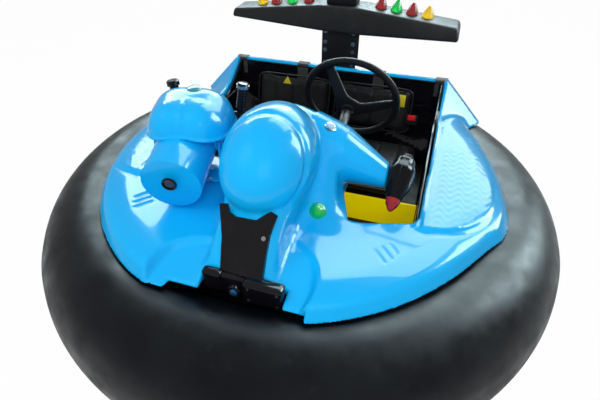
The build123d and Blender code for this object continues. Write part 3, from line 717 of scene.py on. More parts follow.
def surface_of(name, form, low, high, step):
    """Mesh of a form's zero surface: one point in each cell that it crosses, moved onto the form."""
    axes = [np.arange(a, b + step, step, dtype=np.float32) for a, b in zip(low, high)]
    field = form(axes[0][:, None, None], axes[1][None, :, None], axes[2][None, None, :]).astype(np.float32)
    inside = field < 0
    count = np.zeros(tuple(n - 1 for n in field.shape), np.int8)
    for i, j, k in np.ndindex(2, 2, 2):
        count += inside[i : field.shape[0] - 1 + i, j : field.shape[1] - 1 + j, k : field.shape[2] - 1 + k]
    cells = np.argwhere((count > 0) & (count < 8))
    index = np.full(count.shape, -1, np.int32)
    index[tuple(cells.T)] = np.arange(len(cells))
    points = (cells + crossing_means(field, cells)) * step + np.array([a[0] for a in axes])
    points = drawn_onto(form, points, 0.3 * step)
    faces = crossing_quads(inside, index)
    mesh = bpy.data.meshes.new(name)
    mesh.vertices.add(len(points))
    mesh.vertices.foreach_set("co", points.astype(np.float32).ravel())
    mesh.loops.add(4 * len(faces))
    mesh.loops.foreach_set("vertex_index", faces.astype(np.int32).ravel())
    mesh.polygons.add(len(faces))
    mesh.polygons.foreach_set("loop_start", np.arange(0, 4 * len(faces), 4, dtype=np.int32))
    mesh.update(calc_edges=True)
    mesh.validate()
    return mesh


# ================= the moulded body =================
DECK_Z, UNDERSIDE_Z, WALL = 0.500, 0.476, 0.012
SHOULDER_R, SHOULDER_OUT, SHOULDER_UP = 0.630, 0.331, 0.944
CREASE_R, CREASE_Z, SKIRT_OUT, SKIRT_UP, SKIRT_Z = 0.667, 0.487, 0.838, 0.545, 0.447
RIM_X, RIM_T, RIM_FRONT, RIM_TOP = 0.435, 0.018, -0.285, 0.509
RISE_START, RISE_END = 0.300, 0.490
BACK_Y, BACK_T, BACK_TOP = 0.500, 0.024, 0.607
BAY_LOW_X, BAY_HIGH_X, SILL_Y, BAY_Y = -0.158, 0.216, -0.634, -0.583
BAR_LOW_X, BAR_HIGH_X = -0.072, 0.156
PANEL_X, PANEL_Y, PANEL_BACK_Y, PANEL_FRONT_R, PANEL_OUTER_R = 0.440, -0.090, 0.47, 0.207, 0.652
PANEL_RISE, PANEL_EDGE = 0.009, 0.012
SEAM_R, SEAM_WIDTH, SEAM_DEPTH = 0.217, 0.006, 0.0025
FEATHER_LENGTH, FEATHER_WIDTH, FEATHER_DEPTH = 0.030, 0.050, 0.0006
STROKE_WIDTH, STROKE_DEPTH = 0.0046, 0.0034
HUMP_X, HUMP_Y, HUMP_Z, HUMP_TILT = 0.015, -0.310, 0.665, math.radians(15)
HUMP_LONG, HUMP_ROUND = 0.180, 0.132
TRIM_Y, TRIM_Z, TRIM_COS, TRIM_SIN = -0.575, 0.5003, 0.65, 0.76
PORT_X, PORT_Z, PORT_R = -0.200, 0.560, 0.014

# bearing from the driver's side round the front (degrees), share of the plain radius
OUTLINE = (
    (0, 0.995), (7, 0.983), (19, 0.974), (33, 0.998), (42, 1.040), (52, 1.030), (68, 1.000), (90, 1.000),
    (112, 1.000), (128, 1.020), (140, 1.020), (160, 0.968), (180, 0.955), (200, 0.962), (215, 0.974),
    (232, 0.988), (246, 1.000), (270, 1.000), (290, 0.997), (310, 0.985), (321, 0.979), (331, 0.982),
    (338, 0.994), (343.5, 1.026), (349, 1.024), (358, 1.000),
)
# grooves pressed into each front corner: x and y of one end, then of the other
STROKES = (
    (0.339, -0.409, 0.369, -0.445), (0.355, -0.392, 0.384, -0.426), (0.373, -0.374, 0.396, -0.403),
)
# rounds of the sunk front: x and y of the middle, squeeze across, radius
BASIN = ((0.060, -0.580, 1.0, 0.167), (-0.070, -0.640, 0.95, 0.150))


def outline_share(x, y):
    """How far the deck's edge stands out in each direction, eased over a few degrees."""
    degrees = np.arange(0, 360, 1.0)
    plain = np.interp(degrees, *zip(*OUTLINE), period=360)
    weights = np.exp(-((np.arange(-6, 7) / 2.2) ** 2))
    eased = np.convolve(np.concatenate([plain[-6:], plain, plain[:6]]), weights / weights.sum(), "valid")
    return np.interp(np.degrees(np.arctan2(y, x)) % 360, degrees, eased, period=360)


def feathers(x, y):
    """Rows of shallow overlapping scales on the side panels."""
    row = y / FEATHER_LENGTH + 0.5 * np.sin(2 * np.pi * np.abs(x) / FEATHER_WIDTH)
    depth = FEATHER_DEPTH * np.sin(2 * np.pi * row)
    return depth * ramp(-y, -0.20, -0.10) * ramp(np.abs(x), 0.458, 0.480)


def panel_share(x, y):
    """One on the raised side panels, which end in a round in front, and none elsewhere."""
    r = np.hypot(x, y) / outline_share(x, y)
    front = PANEL_FRONT_R - np.hypot(np.abs(x) - PANEL_X, np.minimum(y - PANEL_Y, 0))
    edge = np.minimum(PANEL_OUTER_R - r, np.minimum(np.abs(x) - PANEL_X, front))
    return ramp(np.minimum(edge, PANEL_BACK_Y - y), 0, PANEL_EDGE)


def strokes(x, y):
    """Depth of the short finger-like grooves in the deck's front corners."""
    side = np.abs(x)
    depth = np.zeros(np.broadcast(x, y).shape)
    for ax, ay, bx, by in STROKES:
        ex, ey = bx - ax, by - ay
        t = np.clip(((side - ax) * ex + (y - ay) * ey) / (ex * ex + ey * ey), 0, 1)
        away = np.hypot(side - ax - ex * t, y - ay - ey * t)
        depth = depth + STROKE_DEPTH * np.exp(-((away / STROKE_WIDTH) ** 2))
    return depth


def deck_height(x, y):
    """Top of the deck: its side panels stand up, and it sinks towards the front bay."""
    r = np.hypot(x, y) / outline_share(x, y)
    slope = 0.010 * np.clip((r - 0.590) / 0.08, 0, 1.4) ** 1.3 * ramp(-y, 0.05, 0.30)
    height = DECK_Z - slope + panel_share(x, y) * (PANEL_RISE + feathers(x, y))
    seam = np.exp(-(((np.hypot(np.abs(x) - PANEL_X, y - PANEL_Y) - SEAM_R) / SEAM_WIDTH) ** 2))
    seam = seam * ramp(np.abs(x), 0.43, 0.46)
    height = height - SEAM_DEPTH * seam * ramp(-y, 0.06, 0.10) - strokes(x, y)
    basin = np.minimum(*(np.hypot((x - bx) * squeeze, y - by) - radius for bx, by, squeeze, radius in BASIN))
    low = DECK_Z + 0.26 * np.minimum(y + 0.480, 0) - 0.004
    return height + ramp(-basin, -0.004, 0.022) * np.minimum(low - height, 0)


def outer_faces(x, y, z):
    """Distances to the body's shoulder and to the skirt below its crease."""
    r = np.hypot(x, y) / outline_share(x, y)
    shoulder = (r - SHOULDER_R) * SHOULDER_OUT + (z - DECK_Z - 0.001) * SHOULDER_UP
    skirt = (r - CREASE_R) * SKIRT_OUT + (z - CREASE_Z) * SKIRT_UP
    return shoulder, skirt


def deck_form(x, y, z):
    """Deck, shoulder and skirt as one solid, open below."""
    shoulder, skirt = outer_faces(x, y, z)
    return both(both(z - deck_height(x, y), shoulder, 0.014), skirt, 0.012)


def rim_top(y):
    """Height of the side rims, which rise in a curve to the back wall."""
    t = np.clip((y - RISE_START) / (RISE_END - RISE_START), 0, 1)
    return RIM_TOP + (BACK_TOP - RIM_TOP) * (0.35 * t + 0.65 * t * t)


def rim_form(x, y, z):
    """Back wall and the two side rims that fall from it to the deck, spread outwards at their foot."""
    top = rim_top(y) - 0.010 * ramp(-y, 0.20, 0.29)
    under_top = (z - top) * 0.86
    rim = both(slab(np.abs(x), RIM_X, RIM_X + RIM_T), under_top, 0.010)
    rim = both(rim, slab(y, RIM_FRONT, BACK_Y + BACK_T), 0.010)
    wall = both(slab(y, BACK_Y, BACK_Y + BACK_T), z - BACK_TOP, 0.010)
    wall = both(wall, np.abs(x) - RIM_X - RIM_T, 0.014)
    spread = (np.abs(x) - RIM_X - RIM_T - 0.95 * np.maximum(top - z, 0) * ramp(y, 0.05, 0.34)) * 0.72
    flank = both(both(spread, RIM_X - np.abs(x), 0.004), under_top, 0.008)
    flank = both(flank, slab(y, RIM_FRONT, BACK_Y + BACK_T), 0.012)
    return union(union(rim, flank, 0.006), wall, 0.006)


def console_form(x, y, z):
    """Leaning dash console whose right flank spreads into the deck and whose top falls towards the arm."""
    rise = np.clip(z - DECK_Z, -0.01, 0.27)
    right, left = 0.188 + 0.060 * np.exp(-rise / 0.035), -0.109 + 0.10 * rise
    front, back = -0.368 + 0.90 * rise, -0.030 - 0.10 * rise
    half_x, half_y, corner = (right - left) / 2, (back - front) / 2, 0.050
    side = rounded_rect(x - (left + right) / 2, y - (front + back) / 2, half_x, half_y, corner)
    top = 0.772 - 0.38 * np.hypot(x - 0.020, 0.030)
    fall = 0.55 * np.maximum(y + 0.160, 0) + 0.30 * np.maximum(-y - 0.180, 0)
    return both(side * 0.80, (z - top + fall) * 0.86, 0.034)


def hump_form(x, y, z):
    """The big rounded hump on the dash's front, with a round shield pressed into its face."""
    c, s = math.cos(HUMP_TILT), math.sin(HUMP_TILT)
    w, ahead, up = x - HUMP_X, y - HUMP_Y, z - HUMP_Z
    u, v = ahead * c + up * s, -ahead * s + up * c
    k0 = np.sqrt((u / HUMP_LONG) ** 2 + (v / HUMP_ROUND) ** 2 + (w / HUMP_ROUND) ** 2)
    k1 = np.sqrt((u / HUMP_LONG**2) ** 2 + (v / HUMP_ROUND**2) ** 2 + (w / HUMP_ROUND**2) ** 2)
    plain = k0 * (k0 - 1) / np.maximum(k1, 1e-6)
    facing = 0.10 * w - 0.80 * ahead + 0.59 * up
    upper = ramp(z, 0.56, 0.64)
    groove = 0.0055 * np.exp(-(((facing - 0.072) / 0.009) ** 2)) * upper
    return plain + groove - 0.0035 * ramp(facing, 0.074, 0.100) * upper


def foot_form(x, y, z):
    """The hump's foot, which runs down to the front bay."""
    lower = -(y - TRIM_Y) * 0.761 + (z - DECK_Z) * 0.649
    upper = -(y + 0.500) * 0.264 + (z - 0.588) * 0.9645
    half = 0.084 + 0.10 * np.maximum(0.60 - z, 0)
    side = (np.abs(x - 0.020) - half) * 0.98
    return both(both(both(lower, upper, 0.030), side, 0.030), y + 0.20, 0.01)


def arm_form(x, y, z):
    """Tapered arm from the console to the driver's side, which falls as it goes."""
    root_x, root_y, root_z, run, tip_x = 0.196, -0.150, 0.612, 0.130, 0.3255
    t = (x - root_x) / run
    taper = np.maximum(t, 0)
    half_y, half_z = 0.075 - 0.038 * taper, 0.084 - 0.047 * taper
    u, v = (y - root_y + 0.013 * t) / half_y, (z - root_z + 0.042 * t) / half_z
    round_part = (np.hypot(u, v) - 1) * np.minimum(half_y, half_z) * 0.93
    return both(round_part, slab(x, 0.100, tip_x), 0.006)


def opening_form(x, y):
    """The cockpit opening, longer on the driver's side, seen from above."""
    driver_x, driver_half, gunner_x, gunner_half = 0.318, 0.119, -0.272, 0.163
    front, gunner_front, middle_front = -0.318 + 0.290 * (x - 0.255), -0.120, -0.030
    driver = rounded_rect(x - driver_x, y - (BACK_Y + front) / 2, driver_half, (BACK_Y - front) / 2, 0.026)
    flank = 0.200 + 0.38 * np.clip(-0.200 - y, 0, 0.12)
    driver = np.maximum(driver, flank - x)
    gunner = rounded_rect(
        x - gunner_x, y - (BACK_Y + gunner_front) / 2, gunner_half, (BACK_Y - gunner_front) / 2, 0.030
    )
    middle = rounded_rect(x, y - (BACK_Y + middle_front) / 2, RIM_X, (BACK_Y - middle_front) / 2, 0.012)
    return union(union(driver, gunner, 0.01), middle, 0.02)


def hollow_form(x, y, z):
    """The space below the shell, which is solid round the front bay."""
    shoulder, skirt = outer_faces(x, y, z)
    space = np.maximum(np.maximum(skirt + WALL, shoulder + WALL), z - UNDERSIDE_Z)
    solid_front = np.maximum(slab(x, -0.245, 0.252), y + 0.450)
    return np.maximum(space, -solid_front)


def trim_seat(x, y, z):
    """Flat seat for the trim, cut into the foot's slope."""
    up_slope = TRIM_COS * (y - TRIM_Y) + TRIM_SIN * (z - TRIM_Z)
    off_slope = -TRIM_SIN * (y - TRIM_Y) + TRIM_COS * (z - TRIM_Z)
    return np.maximum(np.maximum(slab(x, -0.036, 0.094), slab(up_slope, -0.05, 0.05)), 0.001 - off_slope)


def body_form(x, y, z):
    body = union(deck_form(x, y, z), foot_form(x, y, z), 0.030)
    body = union(body, console_form(x, y, z), 0.040)
    body = union(body, hump_form(x, y, z), 0.012 + 0.050 * ramp(-z, -0.64, -0.55))
    body = union(body, rim_form(x, y, z), 0.020)
    body = cut(body, opening_form(x, y), 0.006)
    body = union(body, arm_form(x, y, z), 0.016)
    body = np.maximum(body, -hollow_form(x, y, z))
    body = cut(body, trim_seat(x, y, z), 0.003)
    in_bay = slab(x, BAY_LOW_X, BAY_HIGH_X)
    body = cut(body, np.maximum(in_bay, y - SILL_Y), 0.010)
    body = cut(body, np.maximum(slab(x, BAR_LOW_X, BAR_HIGH_X), y - BAY_Y), 0.006)
    port = np.hypot(x - PORT_X, z - PORT_Z) - PORT_R
    body = cut(body, np.maximum(port, slab(y, BACK_Y - 0.02, BACK_Y + BACK_T + 0.02)), 0.003)
    foot = SKIRT_Z + 0.002 * ramp(-in_bay, -0.002, 0.002)
    return both(body, foot - z, 0.002)


def moulded_body():
    """The blue shell, whose flat underside is kept as few faces."""
    mesh = surface_of("moulded_body", body_form, (-0.71, -0.71, 0.405), (0.71, 0.535, 0.835), 0.005)
    work = bmesh.new()
    work.from_mesh(mesh)
    down = [f for f in work.faces if f.normal.z < -0.999]
    flat = [f for f in down if abs(f.calc_center_median().z - UNDERSIDE_Z) < 4e-4]
    verts = dict.fromkeys(v for f in flat for v in f.verts)
    inner = dict.fromkeys(e for f in flat for e in f.edges if all(g.normal.z < -0.999 for g in e.link_faces))
    bmesh.ops.dissolve_limit(work, angle_limit=math.radians(1), verts=list(verts), edges=list(inner))
    work.to_mesh(mesh)
    work.free()
    replaced = ("body_deck", "console", "egg_cowl", "dash_arm")
    new_piece("moulded_body", mesh, BLUE, "car", replaced, smooth_angle=50)


moulded_body()


# ================= cockpit =================
def cockpit_liner():
    """Black lining of the rims' inner faces, with a bead along its top edge."""
    inner_x, inner_y, corner = RIM_X - 0.003, BACK_Y - 0.003, 0.018
    front_y, length, steps = -0.290, 0.786, 24
    foot_z, thickness = 0.470, 0.002
    path = [(inner_x, front_y + length * i / steps * (1 - corner / length)) for i in range(steps + 1)]
    path += [
        (inner_x - corner + corner * math.cos(a), inner_y - corner + corner * math.sin(a))
        for a in (math.radians(15 * i) for i in range(1, 7))
    ]
    path += [(-x, y) for x, y in reversed(path) if y > -0.100]
    rings, bead = [], []
    for i, (x, y) in enumerate(path):
        before, after = path[max(i - 1, 0)], path[min(i + 1, len(path) - 1)]
        along = Vector((after[0] - before[0], after[1] - before[1], 0)).normalized()
        inward = Vector((-along.y, along.x, 0))
        top = rim_top(y) - 0.010
        place = Vector((x, y, 0))
        section = ((0, foot_z), (thickness, foot_z), (thickness, top), (0, top))
        rings.append([place + Vector((0, 0, z)) + inward * d for d, z in section])
        bead.append(place + inward * thickness + Vector((0, 0, top)))
    edge = swept("edge", bead, round_section(0.0034, 8))
    liner = joined("cockpit_liner", [rings_mesh("strip", rings), edge])
    new_piece("cockpit_liner", liner, GLOSS, "car")


def seat_base():
    """Yellow panel in front of the black box that carries the cushions; the panel's glow is painted light."""
    front = smooth_box("seat_front", (-0.424, 0.048, 0.2005), (0.424, 0.058, 0.3145), 0.003)
    new_piece("seat_front", front, YELLOW_PAINTED_GLOW, "car", ("seat_box",))
    box = smooth_box("seat_base", (-0.422, 0.058, 0.2005), (0.422, 0.330, 0.3140), 0.004)
    new_piece("seat_base", box, MATT, "car")


def console_foot():
    """Black cover over the steered wheel's fork, below the dash."""
    mesh = smooth_box("console_foot", (-0.097, -0.428, 0.2005), (0.176, -0.036, 0.478), 0.014)
    new_piece("console_foot", mesh, MATT, "car", ("console_base",))


def floor_mat():
    """Ribbed mat on the footwell's floor."""
    low, high = (0.190, -0.330, 0.2003), (0.420, 0.040, 0.2045)
    ribs, border, half, top = 15, 0.014, 0.003, 0.207
    parts = [smooth_box("mat", low, high, 0.0015, 1)]
    for i in range(ribs):
        x = low[0] + border + (high[0] - low[0] - 2 * border) * i / (ribs - 1)
        start, end = (x - half, low[1] + 0.012, high[2] - 0.001), (x + half, 0.028, top)
        parts.append(smooth_box("rib", start, end, 0.001, 1))
    new_piece("floor_mat", joined("floor_mat", parts), TYRE, "car")


cockpit_liner()
seat_base()
console_foot()
floor_mat()
dress("pedal", PAINTED, 0.003)
dress("cockpit_tub", GLOSS, 0.004)


# ================= cushions =================
SWELL, LEAN = 0.010, math.radians(14)
PRESSURE, BLOWING_FRAMES = 4.0, 20
CHANNEL_DEPTH, CHANNEL_WIDTH, CHANNEL_SPREAD = 0.0052, 0.0045, 0.022


def inflate(piece):
    """Blows a closed piece up as stuffed cloth, no point moving further than the swell."""
    scene = bpy.context.scene
    start = points_of(piece.data)
    cloth = piece.modifiers.new("cloth", "CLOTH")
    cloth.settings.use_pressure = True
    cloth.settings.uniform_pressure_force = PRESSURE
    cloth.settings.effector_weights.gravity = 0
    cloth.settings.quality = 4
    for number in range(1, BLOWING_FRAMES + 1):
        scene.frame_set(number)
    blown = evaluated_mesh(piece)
    piece.modifiers.clear()
    shift = points_of(blown) - start
    reach = np.linalg.norm(shift, axis=1, keepdims=True)
    end = start + shift * np.minimum(1, SWELL / np.maximum(reach, 1e-9))
    piece.data.vertices.foreach_set("co", end.astype(np.float32).ravel())
    bpy.data.meshes.remove(blown)
    scene.frame_set(1)


def sewn(mesh, half, channels):
    """Presses sewn channels into the face, and keeps the cushion within its size."""
    points = points_of(mesh)
    face = np.clip(points[:, 2] / half.z, 0, 1)
    for place in channels:
        away = points[:, 0] - place
        groove = np.exp(-((away / CHANNEL_WIDTH) ** 2)) + 0.45 * np.exp(-((away / CHANNEL_SPREAD) ** 2))
        points[:, 2] -= CHANNEL_DEPTH * groove * face
    for axis in (2, 0, 1):
        points[:, axis] = np.clip(points[:, axis], -half[axis], half[axis])
    mesh.vertices.foreach_set("co", points.ravel())


def cushion(name, node, size, matrix, channels):
    """Stuffed vinyl block in its own frame: sewn channels across it and piping round its face."""
    half = Vector(size) / 2
    shrink = SWELL * 0.75
    piece = linked(name, smooth_box(name, [-(h - shrink) for h in half], [h - shrink for h in half], 0.016))
    remesh = piece.modifiers.new("remesh", "REMESH")
    remesh.mode = "VOXEL"
    remesh.voxel_size = 0.006
    fine = evaluated_mesh(piece)
    piece.modifiers.clear()
    piece.data = fine
    inflate(piece)
    subdivision = piece.modifiers.new("smooth", "SUBSURF")
    subdivision.levels = subdivision.render_levels = 1
    fine = evaluated_mesh(piece)
    sewn(fine, half, channels)
    bpy.data.objects.remove(piece)
    loop = [(x, y, half.z * 0.42) for x, y in superellipse(half.x - 0.006, half.y - 0.006, 9, 120)]
    piping = swept("piping", loop, round_section(0.0035, 8), closed_loop=True)
    mesh = moved(joined(name, [fine, piping]), matrix)
    made = new_piece(name, mesh, VINYL, "car", (node,), smooth_angle=60)


def cushions(label):
    """One seat's cushion and its backrest, which leans back."""
    node = "seat_cushion_" + label
    low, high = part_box(node)
    place = Matrix.Translation(middle_of(low, high))
    cushion("cushion-" + label, node, Vector(high) - Vector(low), place, (-0.118, -0.040, 0.040, 0.118))
    node = "back_pad_" + label
    c, s = math.cos(LEAN), math.sin(LEAN)
    place = Matrix.Translation(middle_of(*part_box(node)))
    upright = Matrix(((1, 0, 0, 0), (0, s, -c, 0), (0, c, s, 0), (0, 0, 0, 1)))
    cushion("backrest-" + label, node, (0.330, 0.190, 0.055), place @ upright, (-0.075, 0.0, 0.075))


cushions("left")
cushions("right")


# ================= belts, buckle and blank patches =================
BELT_PLACES, BELT_WIDTH, BELT_THICKNESS = (-0.428, -0.147, 0.180, 0.428), 0.046, 0.0022


def strap(path):
    """Webbing that keeps its width along X while it follows a path in the YZ plane."""
    rings = []
    for i, place in enumerate(path):
        before, after = Vector(path[max(i - 1, 0)]), Vector(path[min(i + 1, len(path) - 1)])
        along = (after - before).normalized()
        rise = Vector((1, 0, 0)).cross(along).normalized()
        rings.append([
            Vector(place) + Vector((sx * BELT_WIDTH / 2, 0, 0)) + rise * (sr * BELT_THICKNESS / 2)
            for sx, sr in ((-1, -1), (1, -1), (1, 1), (-1, 1))
        ])
    return rings_mesh("strap", rings)


def belts():
    """Four straps over the back wall, each with a lock behind it."""
    parts, locks = [], []
    outer, inner, top, bend = BACK_Y + BACK_T + 0.0025, BACK_Y - 0.006, BACK_TOP + 0.0022, 0.006
    quarter = [math.radians(30 * i) for i in range(4)]
    for x in BELT_PLACES:
        path = [(x, outer, 0.556 + 0.011 * i) for i in range(4)]
        path += [(x, outer - bend + bend * math.cos(a), top - bend + bend * math.sin(a)) for a in quarter]
        path += [(x, inner + bend - bend * math.sin(a), top - bend + bend * math.cos(a)) for a in quarter]
        path += [(x, inner, 0.590 - 0.010 * i) for i in range(6)]
        parts.append(strap(path))
        low, high = (x - 0.028, outer - 0.001, 0.553), (x + 0.028, outer + 0.0045, 0.565)
        locks.append(smooth_box("lock", low, high, 0.002, 2))
    new_piece("belt_straps", joined("belt_straps", parts), WEBBING, "car", ("belts",), 50)
    new_piece("belt_locks", joined("belt_locks", locks), MATT, "car")


def buckle():
    place = Matrix.Translation((0.340, 0.4195, 0.470)) @ Matrix.Rotation(-LEAN, 4, "X")
    red = smooth_box("red", (-0.016, -0.009, -0.011), (0.016, 0.000, 0.011), 0.004, 3, place)
    new_piece("buckle_button", red, BUCKLE, "car")
    body = smooth_box("body", (-0.024, -0.005, -0.030), (0.024, 0.004, 0.012), 0.004, 3, place)
    new_piece("buckle_body", body, MATT, "car")


def patches():
    """Two blank yellow patches on the backrests."""
    lean = Matrix.Rotation(-LEAN, 4, "X")
    angles = [math.radians(90 + 120 * i) for i in range(3)]
    corners = [Vector((0.021 * math.cos(a), 0, 0.021 * math.sin(a))) for a in angles]
    rings = [
        [c * grow + Vector((0, depth, 0)) for c in corners]
        for depth, grow in ((0.0012, 1.0), (-0.0008, 1.0), (-0.0014, 0.93))
    ]
    triangle = moved(rings_mesh("triangle", rings), Matrix.Translation((-0.196, 0.4325, 0.552)) @ lean)
    place = Matrix.Translation((0.285, 0.4285, 0.532)) @ lean
    plate = smooth_box("plate", (-0.019, -0.0014, -0.024), (0.019, 0.001, 0.024), 0.001, 2, place)
    both_patches = joined("blank_patches", [triangle, plate])
    new_piece("blank_patches", both_patches, LABEL, "car", smooth_angle=30)


belts()
buckle()
patches()


# ================= ring tube =================
def ring_tube():
    """The inflated tube: a full section, flat where it meets the rim, with a faint moulding seam."""
    centre_r, centre_z, half_r, half_z, flat_r = 0.722, 0.240, 0.178, 0.205, 0.5605
    seam_height, seam_bearing, seam_spread = 0.0015, 20, 3
    profile = []
    for a in turns(72):
        seam = seam_height * math.exp(-(((math.degrees(a) - seam_bearing) / seam_spread) ** 2))
        r = centre_r + (half_r - seam_height + seam) * math.cos(a)
        profile.append((max(r, flat_r), centre_z + (half_z - seam_height + seam) * math.sin(a)))
    mesh = lathe("ring_tube", profile, 168)
    new_piece("ring_tube", mesh, TUBE, "car", ("bumper_tube",), smooth_angle=60)


ring_tube()


# ================= steering wheel =================
RAKE = math.radians(17.5)
STEER = frame_at((0.148, 0.100, 0.672), (1, 0, 0), (0, math.cos(RAKE), math.sin(RAKE)))
STEER_R, STEER_DISH, RIM_ROUND = 0.152, 0.046, 0.0092
HUB_SPOKE, RIM_SPOKE, WEB_HALF = 0.026, 0.015, 0.0042


def spoke(u, v, angle):
    """Tapered bar from the hub towards the rim, in the wheel's plane."""
    c, s = math.cos(angle), math.sin(angle)
    along = u * c + v * s
    t = np.clip(along / STEER_R, 0, 1)
    away = np.hypot(along - t * STEER_R, -u * s + v * c)
    return away - (HUB_SPOKE + (RIM_SPOKE - HUB_SPOKE) * t)


def wheel_form(u, v, w):
    """Rim, three flat spokes and hub plate; w runs along the column, towards the driver."""
    r = np.hypot(u, v)
    rim = (np.hypot((r - STEER_R) / 1.25, w) - RIM_ROUND) * 0.95
    plate = spoke(u, v, 0.0)
    for turn in (120, 240):
        plate = union(plate, spoke(u, v, math.radians(turn)), 0.022)
    plate = union(plate, r - 0.036, 0.020)
    dish = w + STEER_DISH * (1 - ramp(r, 0.020, STEER_R))
    web = both(plate, np.abs(dish) - WEB_HALF, 0.004) * 0.85
    hub = both(r - 0.019, slab(w, -STEER_DISH - 0.010, -STEER_DISH + 0.009), 0.005)
    return union(union(both(web, r - STEER_R, 0.004), rim, 0.006), hub, 0.005)


def steering():
    """The wheel, with two bolts on each face of its hub."""
    mesh = surface_of("wheel", wheel_form, (-0.172, -0.172, -0.062), (0.172, 0.172, 0.016), 0.0034)
    mesh = moved(mesh, STEER)
    new_piece("steering_wheel_rim", mesh, STEERING_BLACK, "steering", ("steering_wheel",), 40)
    front = -(STEER.to_3x3() @ Vector((0, 0, 1)))
    spots = []
    for x in (-0.015, 0.015):
        spots.append((STEER @ Vector((x, 0.006, -STEER_DISH + 0.0045)), -front))
        spots.append((STEER @ Vector((x, 0.006, -STEER_DISH - 0.010)), front))
    fasteners("wheel_bolts", spots, "steering", 0.0045, 0.003, 0.006)


steering()


# ================= cannon =================
CANNON = Matrix((
    (0.978148, -0.206, 0.029, -0.279),
    (0.207912, 0.969, -0.136, -0.243),
    (0.0, 0.139, 0.990, 0.625),
    (0, 0, 0, 1),
))
CANNON_X, CANNON_Y, YOKE_Y = -0.279, -0.243, -0.2795
HOOD_SIDE, HOOD_BACK, HOOD_RISE = 0.016, 0.022, 0.035
LENS_PLACE = CANNON @ frame_at((0.004, -0.206, 0.018), (1, 0, 0), (0, -1, 0))


def hood_form(side, back, h):
    """Rounded hood over the barrel; back grows towards the gunner, h is the hood's height."""
    away = np.abs(side - HOOD_SIDE)
    u = (side - HOOD_SIDE) / 0.124
    v = (back - HOOD_BACK) / np.where(back > HOOD_BACK, 0.098, 0.120)
    w = (h - HOOD_RISE) / 0.116
    size = (np.abs(u) ** 3.2 + np.abs(v) ** 3.2 + np.abs(np.maximum(w, 0)) ** 2.3) ** (1 / 2.5)
    dome = (size - 1) * 0.098
    front = ramp(-back, -0.02, 0.03)
    crease = 0.0030 * np.exp(-away / 0.006) * front
    lobes = 0.0035 * np.exp(-(((away - 0.055) / 0.030) ** 2)) * front
    dome = dome - crease - lobes
    skirt = h - (0.084 - 0.022 * np.clip(away / 0.12, 0, 1) ** 1.6 - 0.18 * np.clip(back + 0.06, 0, 0.14))
    lip = np.abs(skirt - 0.004) - 0.004
    flare = both(dome - 0.0035, lip, 0.003)
    return union(both(dome, -skirt, 0.005), flare, 0.003)


def grip_place(side):
    """Frame of a hand grip that leans away from the barrel's back, and the grip's length."""
    foot = Vector((side * 0.098 + 0.036, 0.134, 0.020))
    top = Vector((side * 0.1135 + 0.0375, 0.156, 0.116))
    return CANNON @ frame_at(foot, (1, 0, 0), (top - foot).normalized()), (top - foot).length


def grip(side, flange):
    """One hand grip: collar, ridges and a flanged end cap."""
    place, length = grip_place(side)
    profile = [(1e-5, -0.012), (0.011, -0.012), (0.011, 0.010), (0.0135, 0.014)]
    ridges = 7
    for i in range(ridges):
        h = 0.018 + (length - 0.046) * i / (ridges - 1)
        profile += [(0.0138, h - 0.003), (0.0152, h), (0.0138, h + 0.003)]
    profile += [
        (0.0140, length - 0.020), (flange, length - 0.016), (flange, length - 0.004),
        (flange - 0.004, length), (1e-5, length + 0.001),
    ]
    return lathe("grip", profile, 28, place)


def cannon_hood():
    """Hood, and the barrel under it."""
    mesh = surface_of("hood", hood_form, (-0.125, -0.125, 0.000), (0.156, 0.132, 0.165), 0.004)
    new_piece("hood-shell", moved(mesh, CANNON), BLUE, "cannon", ("gun_hood",), 40)
    dress("gun_barrel", BLUE, 0.003, 3)


def cannon_grips():
    """Two grips on a cross tube, one of them with a bright ring."""
    cross_place = CANNON @ frame_at((0.022, 0.130, 0.016), (0, 1, 0), (1, 0, 0))
    cross = lathe("cross", [(1e-5, -0.120), (0.010, -0.120), (0.010, 0.120), (1e-5, 0.120)], 20, cross_place)
    grips = joined("grips", [grip(-1, 0.020), grip(1, 0.0185), cross])
    new_piece("hand-grips", grips, GLOSS, "cannon", ("gun_grips",), 40)
    place, length = grip_place(1)
    profile = [(0.0182, -0.016), (0.0196, -0.016), (0.0196, -0.006), (0.0182, -0.006)]
    ring = lathe("ring", profile, 28, place @ Matrix.Translation((0, 0, length)))
    new_piece("grip-ring", ring, STEEL, "cannon")


def cannon_fittings():
    """Cap on the hood, ring and lens in the barrel's mouth, and the hood's front bolt."""
    cap_place = CANNON @ Matrix.Translation((0.027, 0.060, 0.1475))
    cap = lathe("cap", dome_profile(0.0235, 0.006, 0.007), 36, cap_place)
    new_piece("hood-cap", cap, TEAL, "cannon", ("gun_cap",))
    profile = [(0.0165, 0), (0.0215, 0), (0.0215, 0.004), (0.0195, 0.006), (0.0165, 0.004)]
    new_piece("lens-ring", lathe("rim", profile, 40, LENS_PLACE), GLOSS, "cannon")
    glass = lathe("glass", dome_profile(0.0172, 0.003, 0.002), 32, LENS_PLACE)
    new_piece("lens-glass", glass, LENS_BROWN, "cannon", ("gun_lens",))
    spot = (CANNON @ Vector((0.016, -0.107, 0.078)), CANNON.to_3x3() @ Vector((0, -1, 0.2)))
    fasteners("hood-bolt", [spot], "cannon", 0.003, 0.002, 0.0045)


